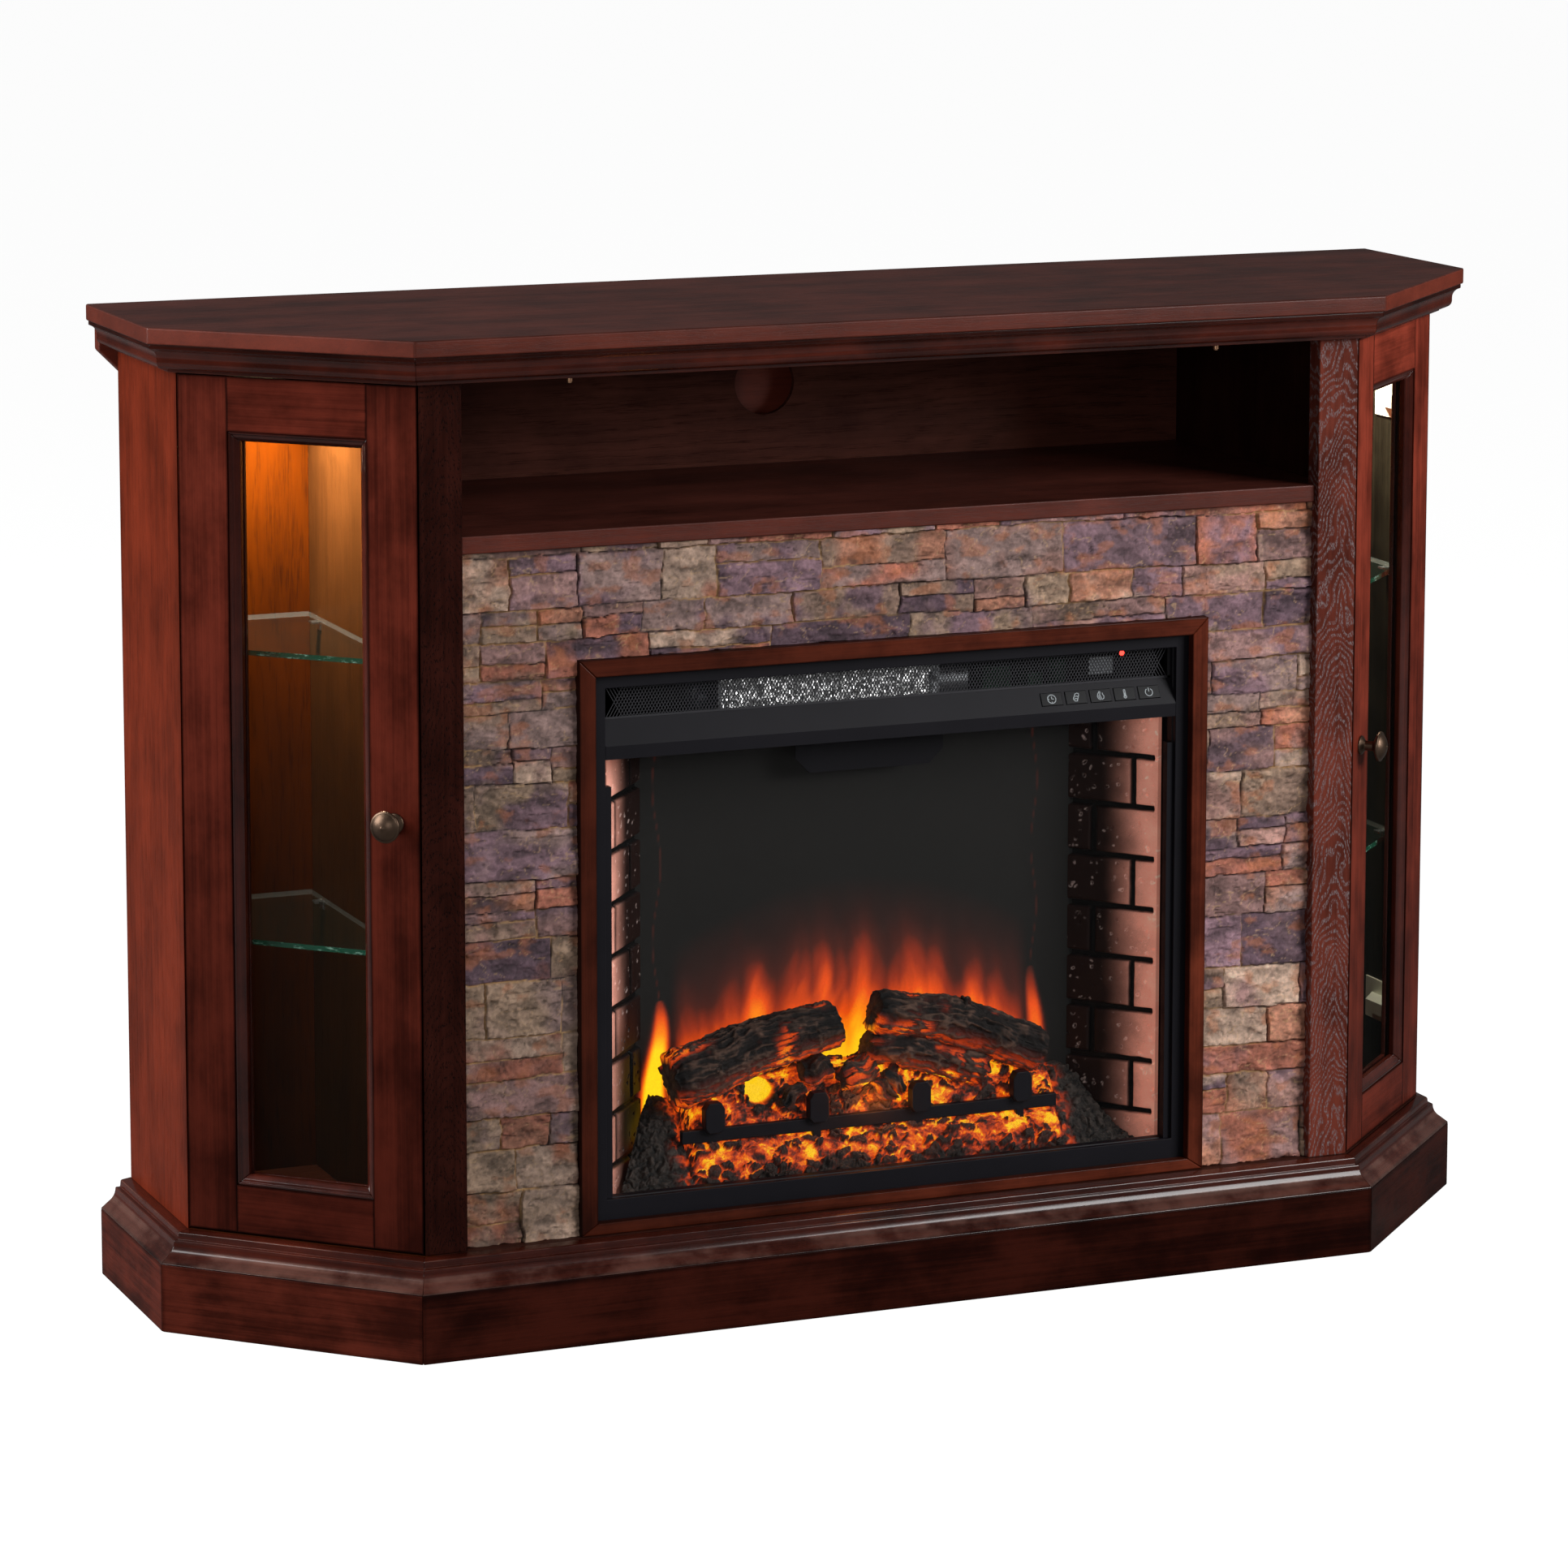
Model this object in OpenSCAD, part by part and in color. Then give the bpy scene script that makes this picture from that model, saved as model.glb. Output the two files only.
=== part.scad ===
// Corner electric fireplace: a media console with two curio cabinets, a stone
// surround and a plug-in electric firebox. Millimetres, +Z up, front towards -Y.
// The origin is on the floor, under the middle of the whole thing at rest.
// Everything is drawn with the back edge of the top at y = 0 and then moved
// forward by "centre_y", which puts the origin in the middle of the depth.

/* [Cabinet] */
// Depth of the cabinet body at its middle
body_d = 352; // [340:2:380]
// Width of the flat front between the two angled doors
front_w = 910; // [896:2:930]
// Width of each angled corner, seen from above
corner_w = 166; // [156:1:180]
// Height from the floor to the top of the top panel
total_h = 900; // [880:2:960]
// Thickness of the top panel
top_t = 15; // [12:1:20]
// How far the top and the plinth stand out from the body
overhang = 29; // [27:1:34]
// Height of the crown moulding under the top panel
crown_h = 26; // [26:1:34]
// Height of the plinth boards
plinth_h = 62; // [50:1:80]
// Height of the moulding on top of the plinth
cap_h = 27; // [27:1:34]
// Thickness of the boards
board_t = 18; // [15:1:20]
// Thickness of the bottom panel
bottom_t = 16; // [12:1:20]
// Thickness of the back panel
back_t = 6; // [4:1:8]
// How far the back panel lies inside the back edges
back_inset = 18; // [17:1:24]
// Width of a front pilaster
pilaster_w = 40; // [34:1:46]
// Thickness of a front pilaster
pilaster_t = 20; // [18:1:24]
// Distance of the curio partition from the corner of the pilaster
partition_set = 5; // [3:1:8]
// Saw gap at each mitre
mitre_gap = 0.1; // [0.05:0.05:0.3]

/* [Media bay] */
// Height of the media bay, from its shelf to the crown moulding
bay_h = 135; // [120:1:147]
// Thickness of the media shelf
shelf_t = 16; // [12:1:20]
// How far the shelf edge lies behind the pilasters
shelf_set = 5; // [2:1:8]
// Radius of the cable holes in the back panel
cable_r = 30; // [20:1:35]
// Distance of the upper cable hole above the media shelf
cable_up = 76; // [60:1:90]
// Distance of each brass screw from the middle of the bay
screw_x = 313; // [280:1:340]

/* [Doors] */
// Thickness of a door
door_t = 20; // [18:1:22]
// Gap at each side of a door
door_gap = 1.5; // [1:0.1:2.5]
// Gap above and below a door
door_clear = 2; // [1:0.5:4]
// Width of a door stile
stile_w = 48; // [44:1:56]
// Height of the top rail of a door
top_rail_h = 48; // [40:1:60]
// Height of the bottom rail of a door
bottom_rail_h = 43; // [38:1:60]
// Width of the glazing bead
bead_w = 9; // [6:1:12]
// Thickness of the door glass
glass_t = 4; // [3:0.5:5]
// Radius of the knob
knob_r = 14; // [11:0.5:16]
// Length of the knob
knob_l = 27; // [22:1:32]
// Distance of a hinge from the end of the door
hinge_in = 85; // [70:1:120]
// Radius of a hinge cup
cup_r = 17.5; // [15:0.5:17.5]
// Distance from the door edge to the middle of a hinge cup
cup_in = 22.5; // [21:0.5:25]

/* [Curio cabinets] */
// Thickness of a glass shelf
pane_t = 5; // [4:0.5:8]
// Height of the lower glass shelf
lower_pane_z = 349; // [300:1:380]
// Height of the upper glass shelf
upper_pane_z = 609; // [560:1:640]
// Gap between a glass shelf and the walls round it
pane_gap = 2; // [1:0.5:4]
// Gap between a glass shelf and the door
pane_front_gap = 8; // [6:1:20]
// Radius of a puck light
puck_r = 30; // [24:1:34]
// Height of a puck light
puck_h = 10; // [8:1:14]

/* [Surround] */
// Half of the outer width of the trim round the firebox
trim_half = 307; // [304:1:320]
// Height of the top of the trim
trim_top = 608; // [604:1:640]
// Width of the trim on its face
trim_w = 16; // [14:1:18]
// Height of the lower length of the trim
trim_foot = 11; // [9:1:16]
// How far the trim lies behind the pilasters
trim_set = 4; // [2:1:6]
// Thickness of the trim
trim_t = 10; // [8:1:12]
// Thickness of the boards that carry the stone
stone_board_t = 12; // [9:1:15]
// How far the thickest stones stand out from their board
stone_relief = 6; // [4:0.5:7]
// Height of a stone course
course_h = 31; // [24:1:40]
// Length of a stone
stone_l = 92; // [60:1:130]
// Width of the mortar grooves
mortar_w = 2; // [1:0.5:4]

/* [Firebox] */
// Depth of the steel casing
casing_d = 189; // [180:1:220]
// Thickness of the sheet steel
sheet_t = 2; // [1:0.5:3]
// Visible width of the side bars of the front frame
frame_side = 12; // [10:1:16]
// Visible height of the bottom bar of the front frame
frame_bottom = 18; // [14:1:22]
// Visible height of the top bar of the front frame
frame_top = 12; // [8:1:14]
// Thickness of the front frame
frame_t = 3; // [2:0.5:4]
// How far the frame reaches in behind the trim
frame_lap = 8; // [6:1:10]
// Height of the vent grille
grille_h = 30; // [26:1:34]
// Number of slots in a row of the grille
grille_slots = 34; // [10:1:50]
// Height of the visor under the grille
visor_h = 34; // [32:1:44]
// Height of the plain lip of the visor
lip_h = 12; // [8:1:14]
// How far the grille lies back behind the face of the frame
grille_in = 12; // [10:1:14]
// Distance between two control keys
key_pitch = 24.5; // [22:0.5:26]
// Length of a control key
key_l = 21; // [16:0.5:21]
// Height of a control key
key_w = 12; // [9:0.5:13]
// Place of the first control key
key_x = 156; // [120:1:160]
// Travel of a control key
key_travel = 1.2; // [0.6:0.1:1.5]
// Depth of the fire space in front of the screen
fire_d = 72; // [70:1:84]
// Half width of the flame screen
screen_half = 212; // [196:1:216]
// Height of the firebox ceiling above its floor
ceiling_h = 430; // [424:1:440]
// Height of a course of the firebrick
brick_h = 50; // [40:1:60]
// Radius of the blower wheel
wheel_r = 24; // [18:1:26]
// Length of the blower wheel
wheel_l = 204; // [150:2:220]
// Radius of the flame rotor
rotor_r = 20; // [14:1:24]
// Length of the flame rotor
rotor_l = 370; // [300:2:380]
// Radius of the two shafts
shaft_r = 3; // [2:0.5:4]
// Running clearance of shafts, pins and pivots
run_gap = 0.06; // [0.02:0.01:0.1]
// Clearance round a control key
key_gap = 0.3; // [0.2:0.05:0.5]
// Clearance of parts that are pressed or glued in
fit_gap = 0.1; // [0.05:0.05:0.2]
// Radius of the left log
log_r = 26; // [18:1:28]

/* [Corner leaf] */
// Thickness of the folding corner leaf
leaf_t = 15; // [12:1:18]
// How far each end of the leaf lies inside the end of the top
leaf_in = 12; // [8:1:30]
// Height of the square end of the leaf
leaf_end = 21; // [16:1:40]
// Half width of the blunt tip of the leaf
leaf_tip = 40; // [20:1:80]
// Distance from the hinge pin to the leaf
pin_off = 3.5; // [3.3:0.1:5]
// Gap between the leaf and the cabinet
leaf_gap = 0.3; // [0.2:0.1:1]
// Length of a leaf hinge
leaf_hinge_l = 60; // [45:1:90]
// Distance of the middle of an outer leaf hinge from the end of the front
leaf_hinge_in = 55; // [30:1:120]
// Distance of the stay pivots below the hinge pin
stay_drop = 150; // [120:1:200]
// Distance of each folding stay from the middle
stay_x = 250; // [180:1:290]
// Width of a stay link
link_w = 11; // [9:0.5:12]
// Thickness of a stay link
link_t = 2; // [1.5:0.1:2]

/* [Hidden] */
mitre_t = tan(22.5);
fw = front_w/2;
hw = fw + corner_w;
side_d = body_d - (hw - fw);
door_l = (hw - fw)*sqrt(2);
leaf_back = leaf_gap + leaf_t;
centre_y = (body_d + overhang - leaf_back)/2;
crown_z = total_h - top_t - crown_h;
under_top = total_h - top_t;
shelf_z = crown_z - bay_h;
floor_z = plinth_h + cap_h;
back_y = -back_inset;
back_front = -back_inset - back_t;
part_out = fw - partition_set;
part_in = part_out - board_t;
bay_half = fw - pilaster_w;
seat = 0.3;
opening_half = trim_half - trim_w;
opening_top = trim_top - trim_w;
opening_bottom = floor_z + trim_foot;
trim_front = -body_d + trim_set;
stone_y = trim_front + trim_t;
frame_y = stone_y;
frame_half = opening_half + frame_lap;
frame_z1 = opening_top + frame_lap;
frame_z0 = opening_bottom - frame_lap;
gap_half = frame_half + 1;
gap_top = frame_z1 + 1;
bar_half = opening_half - frame_side;
bar_bottom = opening_bottom + frame_bottom;
bar_top = opening_top - frame_top;
casing_y = frame_y + frame_t + 14;
casing_back = casing_y + casing_d;
casing_half = bar_half + 5;
inner_half = casing_half - sheet_t;
casing_top = bar_top + 5;
casing_floor = floor_z + sheet_t;
ceiling_z = casing_floor + ceiling_h;
web_half = bar_half + 8;
grille_z = bar_top - grille_h;
visor_bottom = grille_z - visor_h;
visor_tilt = atan2(visor_h - lip_h, grille_in);
grille_y = frame_y + grille_in;
brick_t = 8;
screen_y = casing_y + fire_d;
wheel_y = screen_y - 20;
wheel_z = (ceiling_z + casing_top)/2;
rotor_y = screen_y + 31;
rotor_z = casing_floor + 69;
ash_front_z = casing_floor + 31;
ash_rise = 30;
pin_y = leaf_gap - pin_off;
pin_z = total_h - leaf_t - pin_off;
pin_r = 1.5;
leaf_hinge_pitch = fw - leaf_hinge_in;
knuckle_r = 3;
plate_t = 1.5;
pivot_y = back_y/2 - pin_y;
link_l = sqrt(pow(stay_drop - pivot_y, 2) + pow(stay_drop + pivot_y, 2))/2;
pivot_r = 2;
door_z0 = floor_z + door_clear;
door_z1 = crown_z - door_clear;
knob_z = (door_z0 + door_z1)/2;
hinge_zs = [door_z0 + hinge_in, door_z1 - hinge_in];
body_path = [[-hw, 0], [-hw, -side_d], [-fw, -body_d], [fw, -body_d], [hw, -side_d], [hw, 0]];

wood = "#4a1a10";
dark_wood = "#32120d";
steel = "#1b1d20";
bright = "#c8cacc";
glass_c = [0.75, 0.9, 0.85, 0.35];

// ---- helpers -------------------------------------------------------------

// Points of an arc round [cx, cz], from angle a0 to a1
function arc(cx, cz, r, a0, a1, n = 8) =
    [for (i = [0:n]) let (a = a0 + (a1 - a0)*i/n) [cx + r*cos(a), cz + r*sin(a)]];

// Outline of the body, grown outwards by o
function outline(o) = [
    [-hw - o, 0], [-hw - o, -side_d - o*mitre_t], [-fw - o*mitre_t, -body_d - o],
    [fw + o*mitre_t, -body_d - o], [hw + o, -side_d - o*mitre_t], [hw + o, 0]];

// Profile of the crown: distance out from the body, height above its lower edge
function crown_profile(h) = concat(
    [[0, 0], [8, 0], [8, 3.5]],
    arc(12.7, 10, 6.5, -90, 0),
    arc(28.2, 13, 9, 180, 100),
    [[26.6, h], [0, h]]);

// Profile of the moulding on the plinth
function cap_profile(h, o) = concat(
    [[0, 0], [o, 0], [o - 0.5, 1]],
    arc(o, 18.5, 14, 236, 180),
    [[o - 14.7, 19.2], [o - 18.4, 19.2], [o - 19, h - 2.4], [o - 20, h - 1.4], [0, h]]);

// Draws everything with the back edge of the top at y = 0
module placed() { translate([0, centre_y, 0]) children(); }

// The same thing on both sides
module both() {
    children();
    mirror([1, 0, 0]) children();
}

// Frame of the right door: x runs from the side panel to the pilaster, y points out
module at_door() { translate([hw, -side_d, 0]) rotate(225) children(); }

// One straight run of the body path, mitred, between the offsets o1 and o2
module run_plan(i, o1, o2) {
    a = body_path[i];
    b = body_path[i + 1];
    l = norm(b - a);
    t0 = i == 0 ? 0 : mitre_t;
    t1 = i == 4 ? 0 : mitre_t;
    g0 = i == 0 ? 0 : mitre_gap/2;
    g1 = i == 4 ? 0 : mitre_gap/2;
    polygon([[g0 - o1*t0, -o1], [l - g1 + o1*t1, -o1], [l - g1 + o2*t1, -o2], [g0 - o2*t0, -o2]]);
}

module at_run(i) {
    a = body_path[i];
    b = body_path[i + 1];
    translate([a[0], a[1], 0]) rotate(atan2(b[1] - a[1], b[0] - a[0])) children();
}

// A moulding of the given profile along run i, standing on z0
module moulding_run(i, profile, reach, z0, h) {
    l = norm(body_path[i + 1] - body_path[i]);
    at_run(i) intersection() {
        translate([-60, 0, z0]) rotate([90, 0, 90])
            linear_extrude(l + 120) polygon([for (p = profile) [-p[0], p[1]]]);
        translate([0, 0, z0 - 1]) linear_extrude(h + 2) run_plan(i, 0, reach + 1);
    }
}

// A mitred rectangular frame in the x-z plane: front face at y = 0, back at y = t
module mitred_frame(x0, x1, z0, z1, w, foot, t) {
    g = mitre_gap/2;
    f = foot;
    rotate([90, 0, 0]) translate([0, 0, -t]) linear_extrude(t) {
        polygon([[x0 + g, z0], [x1 - g, z0], [x1 - w - g, z0 + f], [x0 + w + g, z0 + f]]);
        polygon([[x0 + g, z1], [x0 + w + g, z1 - w], [x1 - w - g, z1 - w], [x1 - g, z1]]);
        polygon([[x0, z0 + g], [x0 + w, z0 + f + g], [x0 + w, z1 - w - g], [x0, z1 - g]]);
        polygon([[x1, z0 + g], [x1, z1 - g], [x1 - w, z1 - w - g], [x1 - w, z0 + f + g]]);
    }
}

// A box between two corners
module box(a, b) { translate(a) cube(b - a); }

// A shaft along x
module rod(x0, x1, r) { translate([x0, 0, 0]) rotate([0, 90, 0]) cylinder(r = r, h = x1 - x0, $fn = 40); }

// ---- cabinet -------------------------------------------------------------

module top_panel() {
    color(dark_wood) placed() translate([0, 0, under_top])
        linear_extrude(top_t) polygon(outline(overhang));
}

module crown_moulding() {
    color(wood) placed() for (i = [0:4])
        moulding_run(i, crown_profile(crown_h), 26.6, crown_z, crown_h);
}

module top_rails() {
    color(wood) placed() {
        box([-bay_half, -body_d, crown_z], [bay_half, -body_d + board_t, under_top]);
        both() at_door() box([0, -board_t, crown_z], [door_l, 0, under_top]);
    }
}

module base_cap_moulding() {
    color(wood) placed() for (i = [0:4])
        moulding_run(i, cap_profile(cap_h, overhang), overhang, plinth_h, cap_h);
}

module plinth_boards() {
    color(wood) placed() for (i = [0:4])
        at_run(i) linear_extrude(plinth_h) run_plan(i, overhang - board_t, overhang);
}

module base_rails() {
    rail_top = floor_z - bottom_t;
    color("#8a6a48") placed() {
        at_run(2) linear_extrude(rail_top) run_plan(2, -board_t, 0);
        both() at_door() linear_extrude(rail_top)
            polygon([[0, 0], [door_l - mitre_gap/2, 0],
                     [door_l - mitre_gap/2 - board_t*mitre_t, -board_t], [0, -board_t]]);
        box([-hw + board_t + mitre_gap, -board_t, 0], [hw - board_t - mitre_gap, 0, rail_top]);
        both() box([part_in - 4, -body_d + board_t + mitre_gap, 0],
                   [part_in + board_t - 4, -board_t - mitre_gap, rail_top]);
        for (i = [0:4], f = [0.2, 0.8])
            at_run(i) translate([f*norm(body_path[i + 1] - body_path[i]) - 20, board_t - overhang, 0])
                cube([40, overhang - board_t, plinth_h - 12]);
    }
}

module bottom_panel() {
    x = hw - board_t;
    y = side_d - board_t;
    color(wood) placed() translate([0, 0, floor_z - bottom_t]) linear_extrude(bottom_t)
        polygon([[-x, 0], [-x, -y], [-hw, -side_d], [-fw, -body_d],
                 [fw, -body_d], [hw, -side_d], [x, -y], [x, 0]]);
}

module side_panels() {
    color(wood) placed() both() linear_extrude(under_top)
        polygon([[hw, 0], [hw, -side_d], [hw - board_t, -side_d + board_t], [hw - board_t, 0]]);
}

module partitions() {
    slope = fw + body_d - (door_t + door_gap)*sqrt(2);
    front = -body_d + pilaster_t;
    color(wood) placed() both() translate([0, 0, floor_z]) linear_extrude(under_top - floor_z)
        polygon([[part_in, back_front], [part_in, front], [slope + front, front],
                 [part_out, part_out - slope], [part_out, back_front]]);
}

module pilasters() {
    color(wood) placed() both() translate([0, 0, floor_z]) linear_extrude(under_top - floor_z)
        polygon([[fw, -body_d], [fw - pilaster_t, -body_d + pilaster_t],
                 [bay_half, -body_d + pilaster_t], [bay_half, -body_d]]);
}

// Four boards: one behind the media bay, one behind the firebox, two behind the curios
module back_panel() {
    low = 60;
    x = hw - board_t;
    color(dark_wood) placed() {
        difference() {
            box([-part_out, back_front, shelf_z - shelf_t], [part_out, back_y, under_top - 2]);
            translate([0, back_y + 1, shelf_z + cable_up]) rotate([90, 0, 0])
                cylinder(r = cable_r, h = back_t + 2, $fn = 72);
        }
        difference() {
            box([-part_out, back_front, floor_z],
                [part_out, back_y, shelf_z - shelf_t - mitre_gap]);
            translate([casing_half - 76, back_y + 1, floor_z + low]) rotate([90, 0, 0])
                cylinder(r = cable_r, h = back_t + 2, $fn = 72);
            for (i = [-3:3])
                box([i*90 - 35, back_front - 1, casing_top - 50],
                    [i*90 + 35, back_y + 1, casing_top - 42]);
        }
        both() box([part_out + mitre_gap, back_front, floor_z], [x, back_y, under_top - 2]);
    }
}

module media_shelf() {
    front = -body_d + pilaster_t;
    color(dark_wood) placed() translate([0, 0, shelf_z - shelf_t]) linear_extrude(shelf_t)
        polygon([[-part_in, back_front], [-part_in, front], [-bay_half, front],
                 [-bay_half, -body_d + shelf_set], [bay_half, -body_d + shelf_set],
                 [bay_half, front], [part_in, front], [part_in, back_front]]);
}

module bay_screws() {
    color("#b87a4a") placed() both()
        translate([screw_x, -body_d + board_t/2, crown_z - 5]) {
            cylinder(r = 3, h = 5, $fn = 32);
            translate([0, 0, -1.2]) cylinder(r = 2, h = 1.3, $fn = 32);
        }
}

// ---- stone and trim ------------------------------------------------------

// Stones on one board between x0..x1 and z0..z1, with the board's face at y = 0
module stone_field(x0, x1, z0, z1, phase) {
    rows = round((z1 - z0)/course_h);
    h = (z1 - z0)/rows;
    for (r = [0:rows - 1]) {
        start = x0 - stone_l*(0.5 + 0.5*sin(137*r + phase));
        for (c = [0:ceil((x1 - start)/stone_l)]) {
            a = max(x0, start + c*stone_l) + mortar_w/2;
            b = min(x1, start + (c + 1)*stone_l) - mortar_w/2;
            out = stone_relief*(0.62 + 0.38*sin(151*r + 97*c + phase));
            if (b - a > 12) box([a, -out, z0 + r*h + mortar_w/2], [b, 1, z0 + (r + 1)*h - mortar_w/2]);
        }
    }
}

module stone_panels() {
    z1 = shelf_z - shelf_t;
    color("#8d7460") placed() translate([0, stone_y, 0]) {
        both() {
            box([gap_half, 0, floor_z], [bay_half, stone_board_t, z1]);
            stone_field(trim_half + 0.5, bay_half - 0.5, floor_z, z1, 20);
        }
        box([-gap_half + mitre_gap, 0, gap_top], [gap_half - mitre_gap, stone_board_t, z1]);
        stone_field(-gap_half + 1, gap_half - 1, trim_top + 0.5, z1, 70);
    }
}

module firebox_trim() {
    color(wood) placed() translate([0, trim_front, 0])
        mitred_frame(-trim_half, trim_half, floor_z, trim_top, trim_w, trim_foot, trim_t);
}

// ---- curio cabinets ------------------------------------------------------

module glass_shelves() {
    x0 = part_out + pane_gap;
    x1 = hw - board_t - pane_gap;
    y1 = back_front - pane_gap;
    line = fw + body_d - (door_t + pane_front_gap)*sqrt(2);
    color(glass_c) placed() both() for (z = [lower_pane_z, upper_pane_z])
        translate([0, 0, z - pane_t/2]) linear_extrude(pane_t)
            polygon([[x0, y1], [x0, x0 - line], [x1, x1 - line], [x1, y1]]);
}

// Four L-shaped pins carry each pane
module shelf_pins() {
    reach = 9;
    x0 = part_out;
    x1 = hw - board_t;
    front = x1 - (fw + body_d - (door_t + pane_front_gap)*sqrt(2)) + 20;
    color(bright) placed() both() for (z = [lower_pane_z, upper_pane_z]) {
        for (y = [back_front - 30, front]) translate([x1, y, z - pane_t/2]) {
            box([-reach, -5, -2], [0, 5, 0]);
            box([-pane_gap + 0.4, -5, -8], [0, 5, -2]);
        }
        for (y = [back_front - 30, -body_d + pilaster_t + 34]) translate([x0, y, z - pane_t/2]) {
            box([0, -5, -2], [reach, 5, 0]);
            box([0, -5, -8], [pane_gap - 0.4, 5, -2]);
        }
    }
}

puck_x = (part_out + hw - board_t)/2;
puck_y = back_front - 90;

module puck_lights() {
    color(bright) placed() both() translate([puck_x, puck_y, under_top - puck_h]) difference() {
        cylinder(r = puck_r, h = puck_h, $fn = 64);
        translate([0, 0, -1]) cylinder(r = puck_r - 5, h = 5, $fn = 64);
    }
}

module puck_lenses() {
    color("#ffe2a8") placed() both() translate([puck_x, puck_y, under_top - puck_h + 1])
        cylinder(r = puck_r - 5.3, h = 3, $fn = 64);
}

module door_catches() {
    line = fw + body_d - (door_t + door_gap)*sqrt(2);
    color("#d8d4c8") placed() both() translate([part_out, part_out + 12 - line, door_z1 - 60])
        cube([12, 18, 40]);
}

// Base plate on the side panel and the arm that reaches the cup
module hinge_arms() {
    nose_n = -door_t + 2.5;
    color(bright) placed() both() for (z = hinge_zs) {
        translate([hw - board_t - 2, -side_d + board_t + 6, z - 20]) cube([2, 46, 40]);
        at_door() translate([0, 0, z - 6]) linear_extrude(12)
            polygon([[cup_in - 8, nose_n], [cup_in + 2, nose_n], [cup_in + 2, -door_t - 10],
                     [4, -52], [-board_t*1.5, -board_t*3.04], [-board_t*0.65, -board_t*2.18]]);
    }
}

// ---- doors ---------------------------------------------------------------

door_s0 = door_gap;
door_s1 = door_l - door_gap;
glass_n = -door_t + glass_t + 4;

module door_frame() {
    at_door() {
        difference() {
            box([door_s0, -door_t, door_z0], [door_s0 + stile_w, 0, door_z1]);
            for (z = hinge_zs) translate([door_s0 + cup_in, 0, z]) rotate([90, 0, 0])
                translate([0, 0, door_t - 12]) cylinder(r = cup_r + fit_gap, h = 13, $fn = 64);
        }
        difference() {
            box([door_s1 - stile_w, -door_t, door_z0], [door_s1, 0, door_z1]);
            translate([door_s1 - stile_w/2, 1, knob_z]) rotate([90, 0, 0])
                cylinder(r = 2.1, h = door_t + 2, $fn = 32);
        }
        s0 = door_s0 + stile_w + mitre_gap;
        s1 = door_s1 - stile_w - mitre_gap;
        box([s0, -door_t, door_z0], [s1, 0, door_z0 + bottom_rail_h]);
        box([s0, -door_t, door_z1 - top_rail_h], [s1, 0, door_z1]);
    }
}

// One length of bead with a sloped, stepped face, mitred at both ends
module bead_length(l) {
    intersection() {
        translate([-1, 0, 0]) rotate([90, 0, 90]) linear_extrude(l + 2)
            polygon([[glass_n + 0.1, 0], [-1, 0], [-1, 2.2], [-2.5, 2.8], [-3, 5],
                     [-5.5, 7.8], [-7, bead_w], [glass_n + 0.1, bead_w]]);
        rotate([90, 0, 0]) translate([0, 0, -1]) linear_extrude(door_t + 2)
            polygon([[mitre_gap, 0], [l - mitre_gap, 0], [l - mitre_gap - bead_w, bead_w],
                     [mitre_gap + bead_w, bead_w]]);
    }
}

module door_bead() {
    s0 = door_s0 + stile_w + 0.2;
    s1 = door_s1 - stile_w - 0.2;
    z0 = door_z0 + bottom_rail_h + 0.2;
    z1 = door_z1 - top_rail_h - 0.2;
    at_door() {
        translate([s0, 0, z0]) bead_length(s1 - s0);
        translate([s1, 0, z1]) rotate([0, 180, 0]) bead_length(s1 - s0);
        translate([s0, 0, z1]) rotate([0, 90, 0]) bead_length(z1 - z0);
        translate([s1, 0, z0]) rotate([0, -90, 0]) bead_length(z1 - z0);
        translate([0, -door_t, 0])
            mitred_frame(s0, s1, z0, z1, bead_w - 1, bead_w - 1, door_t + glass_n - glass_t - 0.1);
    }
}

module door_glass() {
    s0 = door_s0 + stile_w + 1;
    s1 = door_s1 - stile_w - 1;
    at_door() box([s0, glass_n - glass_t, door_z0 + bottom_rail_h + 1],
                  [s1, glass_n, door_z1 - top_rail_h - 1]);
}

// Mushroom knob on a small rose, with the screw that holds it from behind
module door_knob() {
    at_door() translate([door_s1 - stile_w/2, 0, knob_z]) rotate([-90, 0, 0]) {
        rotate_extrude($fn = 64) polygon(concat(
            [[0, 0], [9, 0], [9, 1.5], [7, 3], [4.6, 5], [4.6, knob_l - 14]],
            [[knob_r*0.72, knob_l - 11], [knob_r, knob_l - 9], [knob_r, knob_l - 7]],
            [[knob_r*0.86, knob_l - 6]],
            arc(0, knob_l - 6 - knob_r*0.9, knob_r*1.24, 42, 84, 6),
            [[0, knob_l]]));
        translate([0, 0, -door_t]) cylinder(r = 2, h = door_t, $fn = 32);
        translate([0, 0, -door_t - 2]) cylinder(r = 4, h = 2, $fn = 32);
    }
}

module hinge_cups() {
    at_door() for (z = hinge_zs) translate([door_s0 + cup_in, -door_t, z]) rotate([-90, 0, 0]) {
        difference() {
            cylinder(r = cup_r, h = 11.5, $fn = 64);
            translate([0, 0, -1]) cylinder(r = cup_r - 1.5, h = 11, $fn = 64);
        }
        difference() {
            translate([-8, -24, -1.2]) cube([18, 48, 1.2]);
            translate([0, 0, -2]) cylinder(r = cup_r - 1.5, h = 3, $fn = 64);
        }
        translate([-9.5, -6, 2.8]) cube([10, 12, 8]);
    }
}

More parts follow.
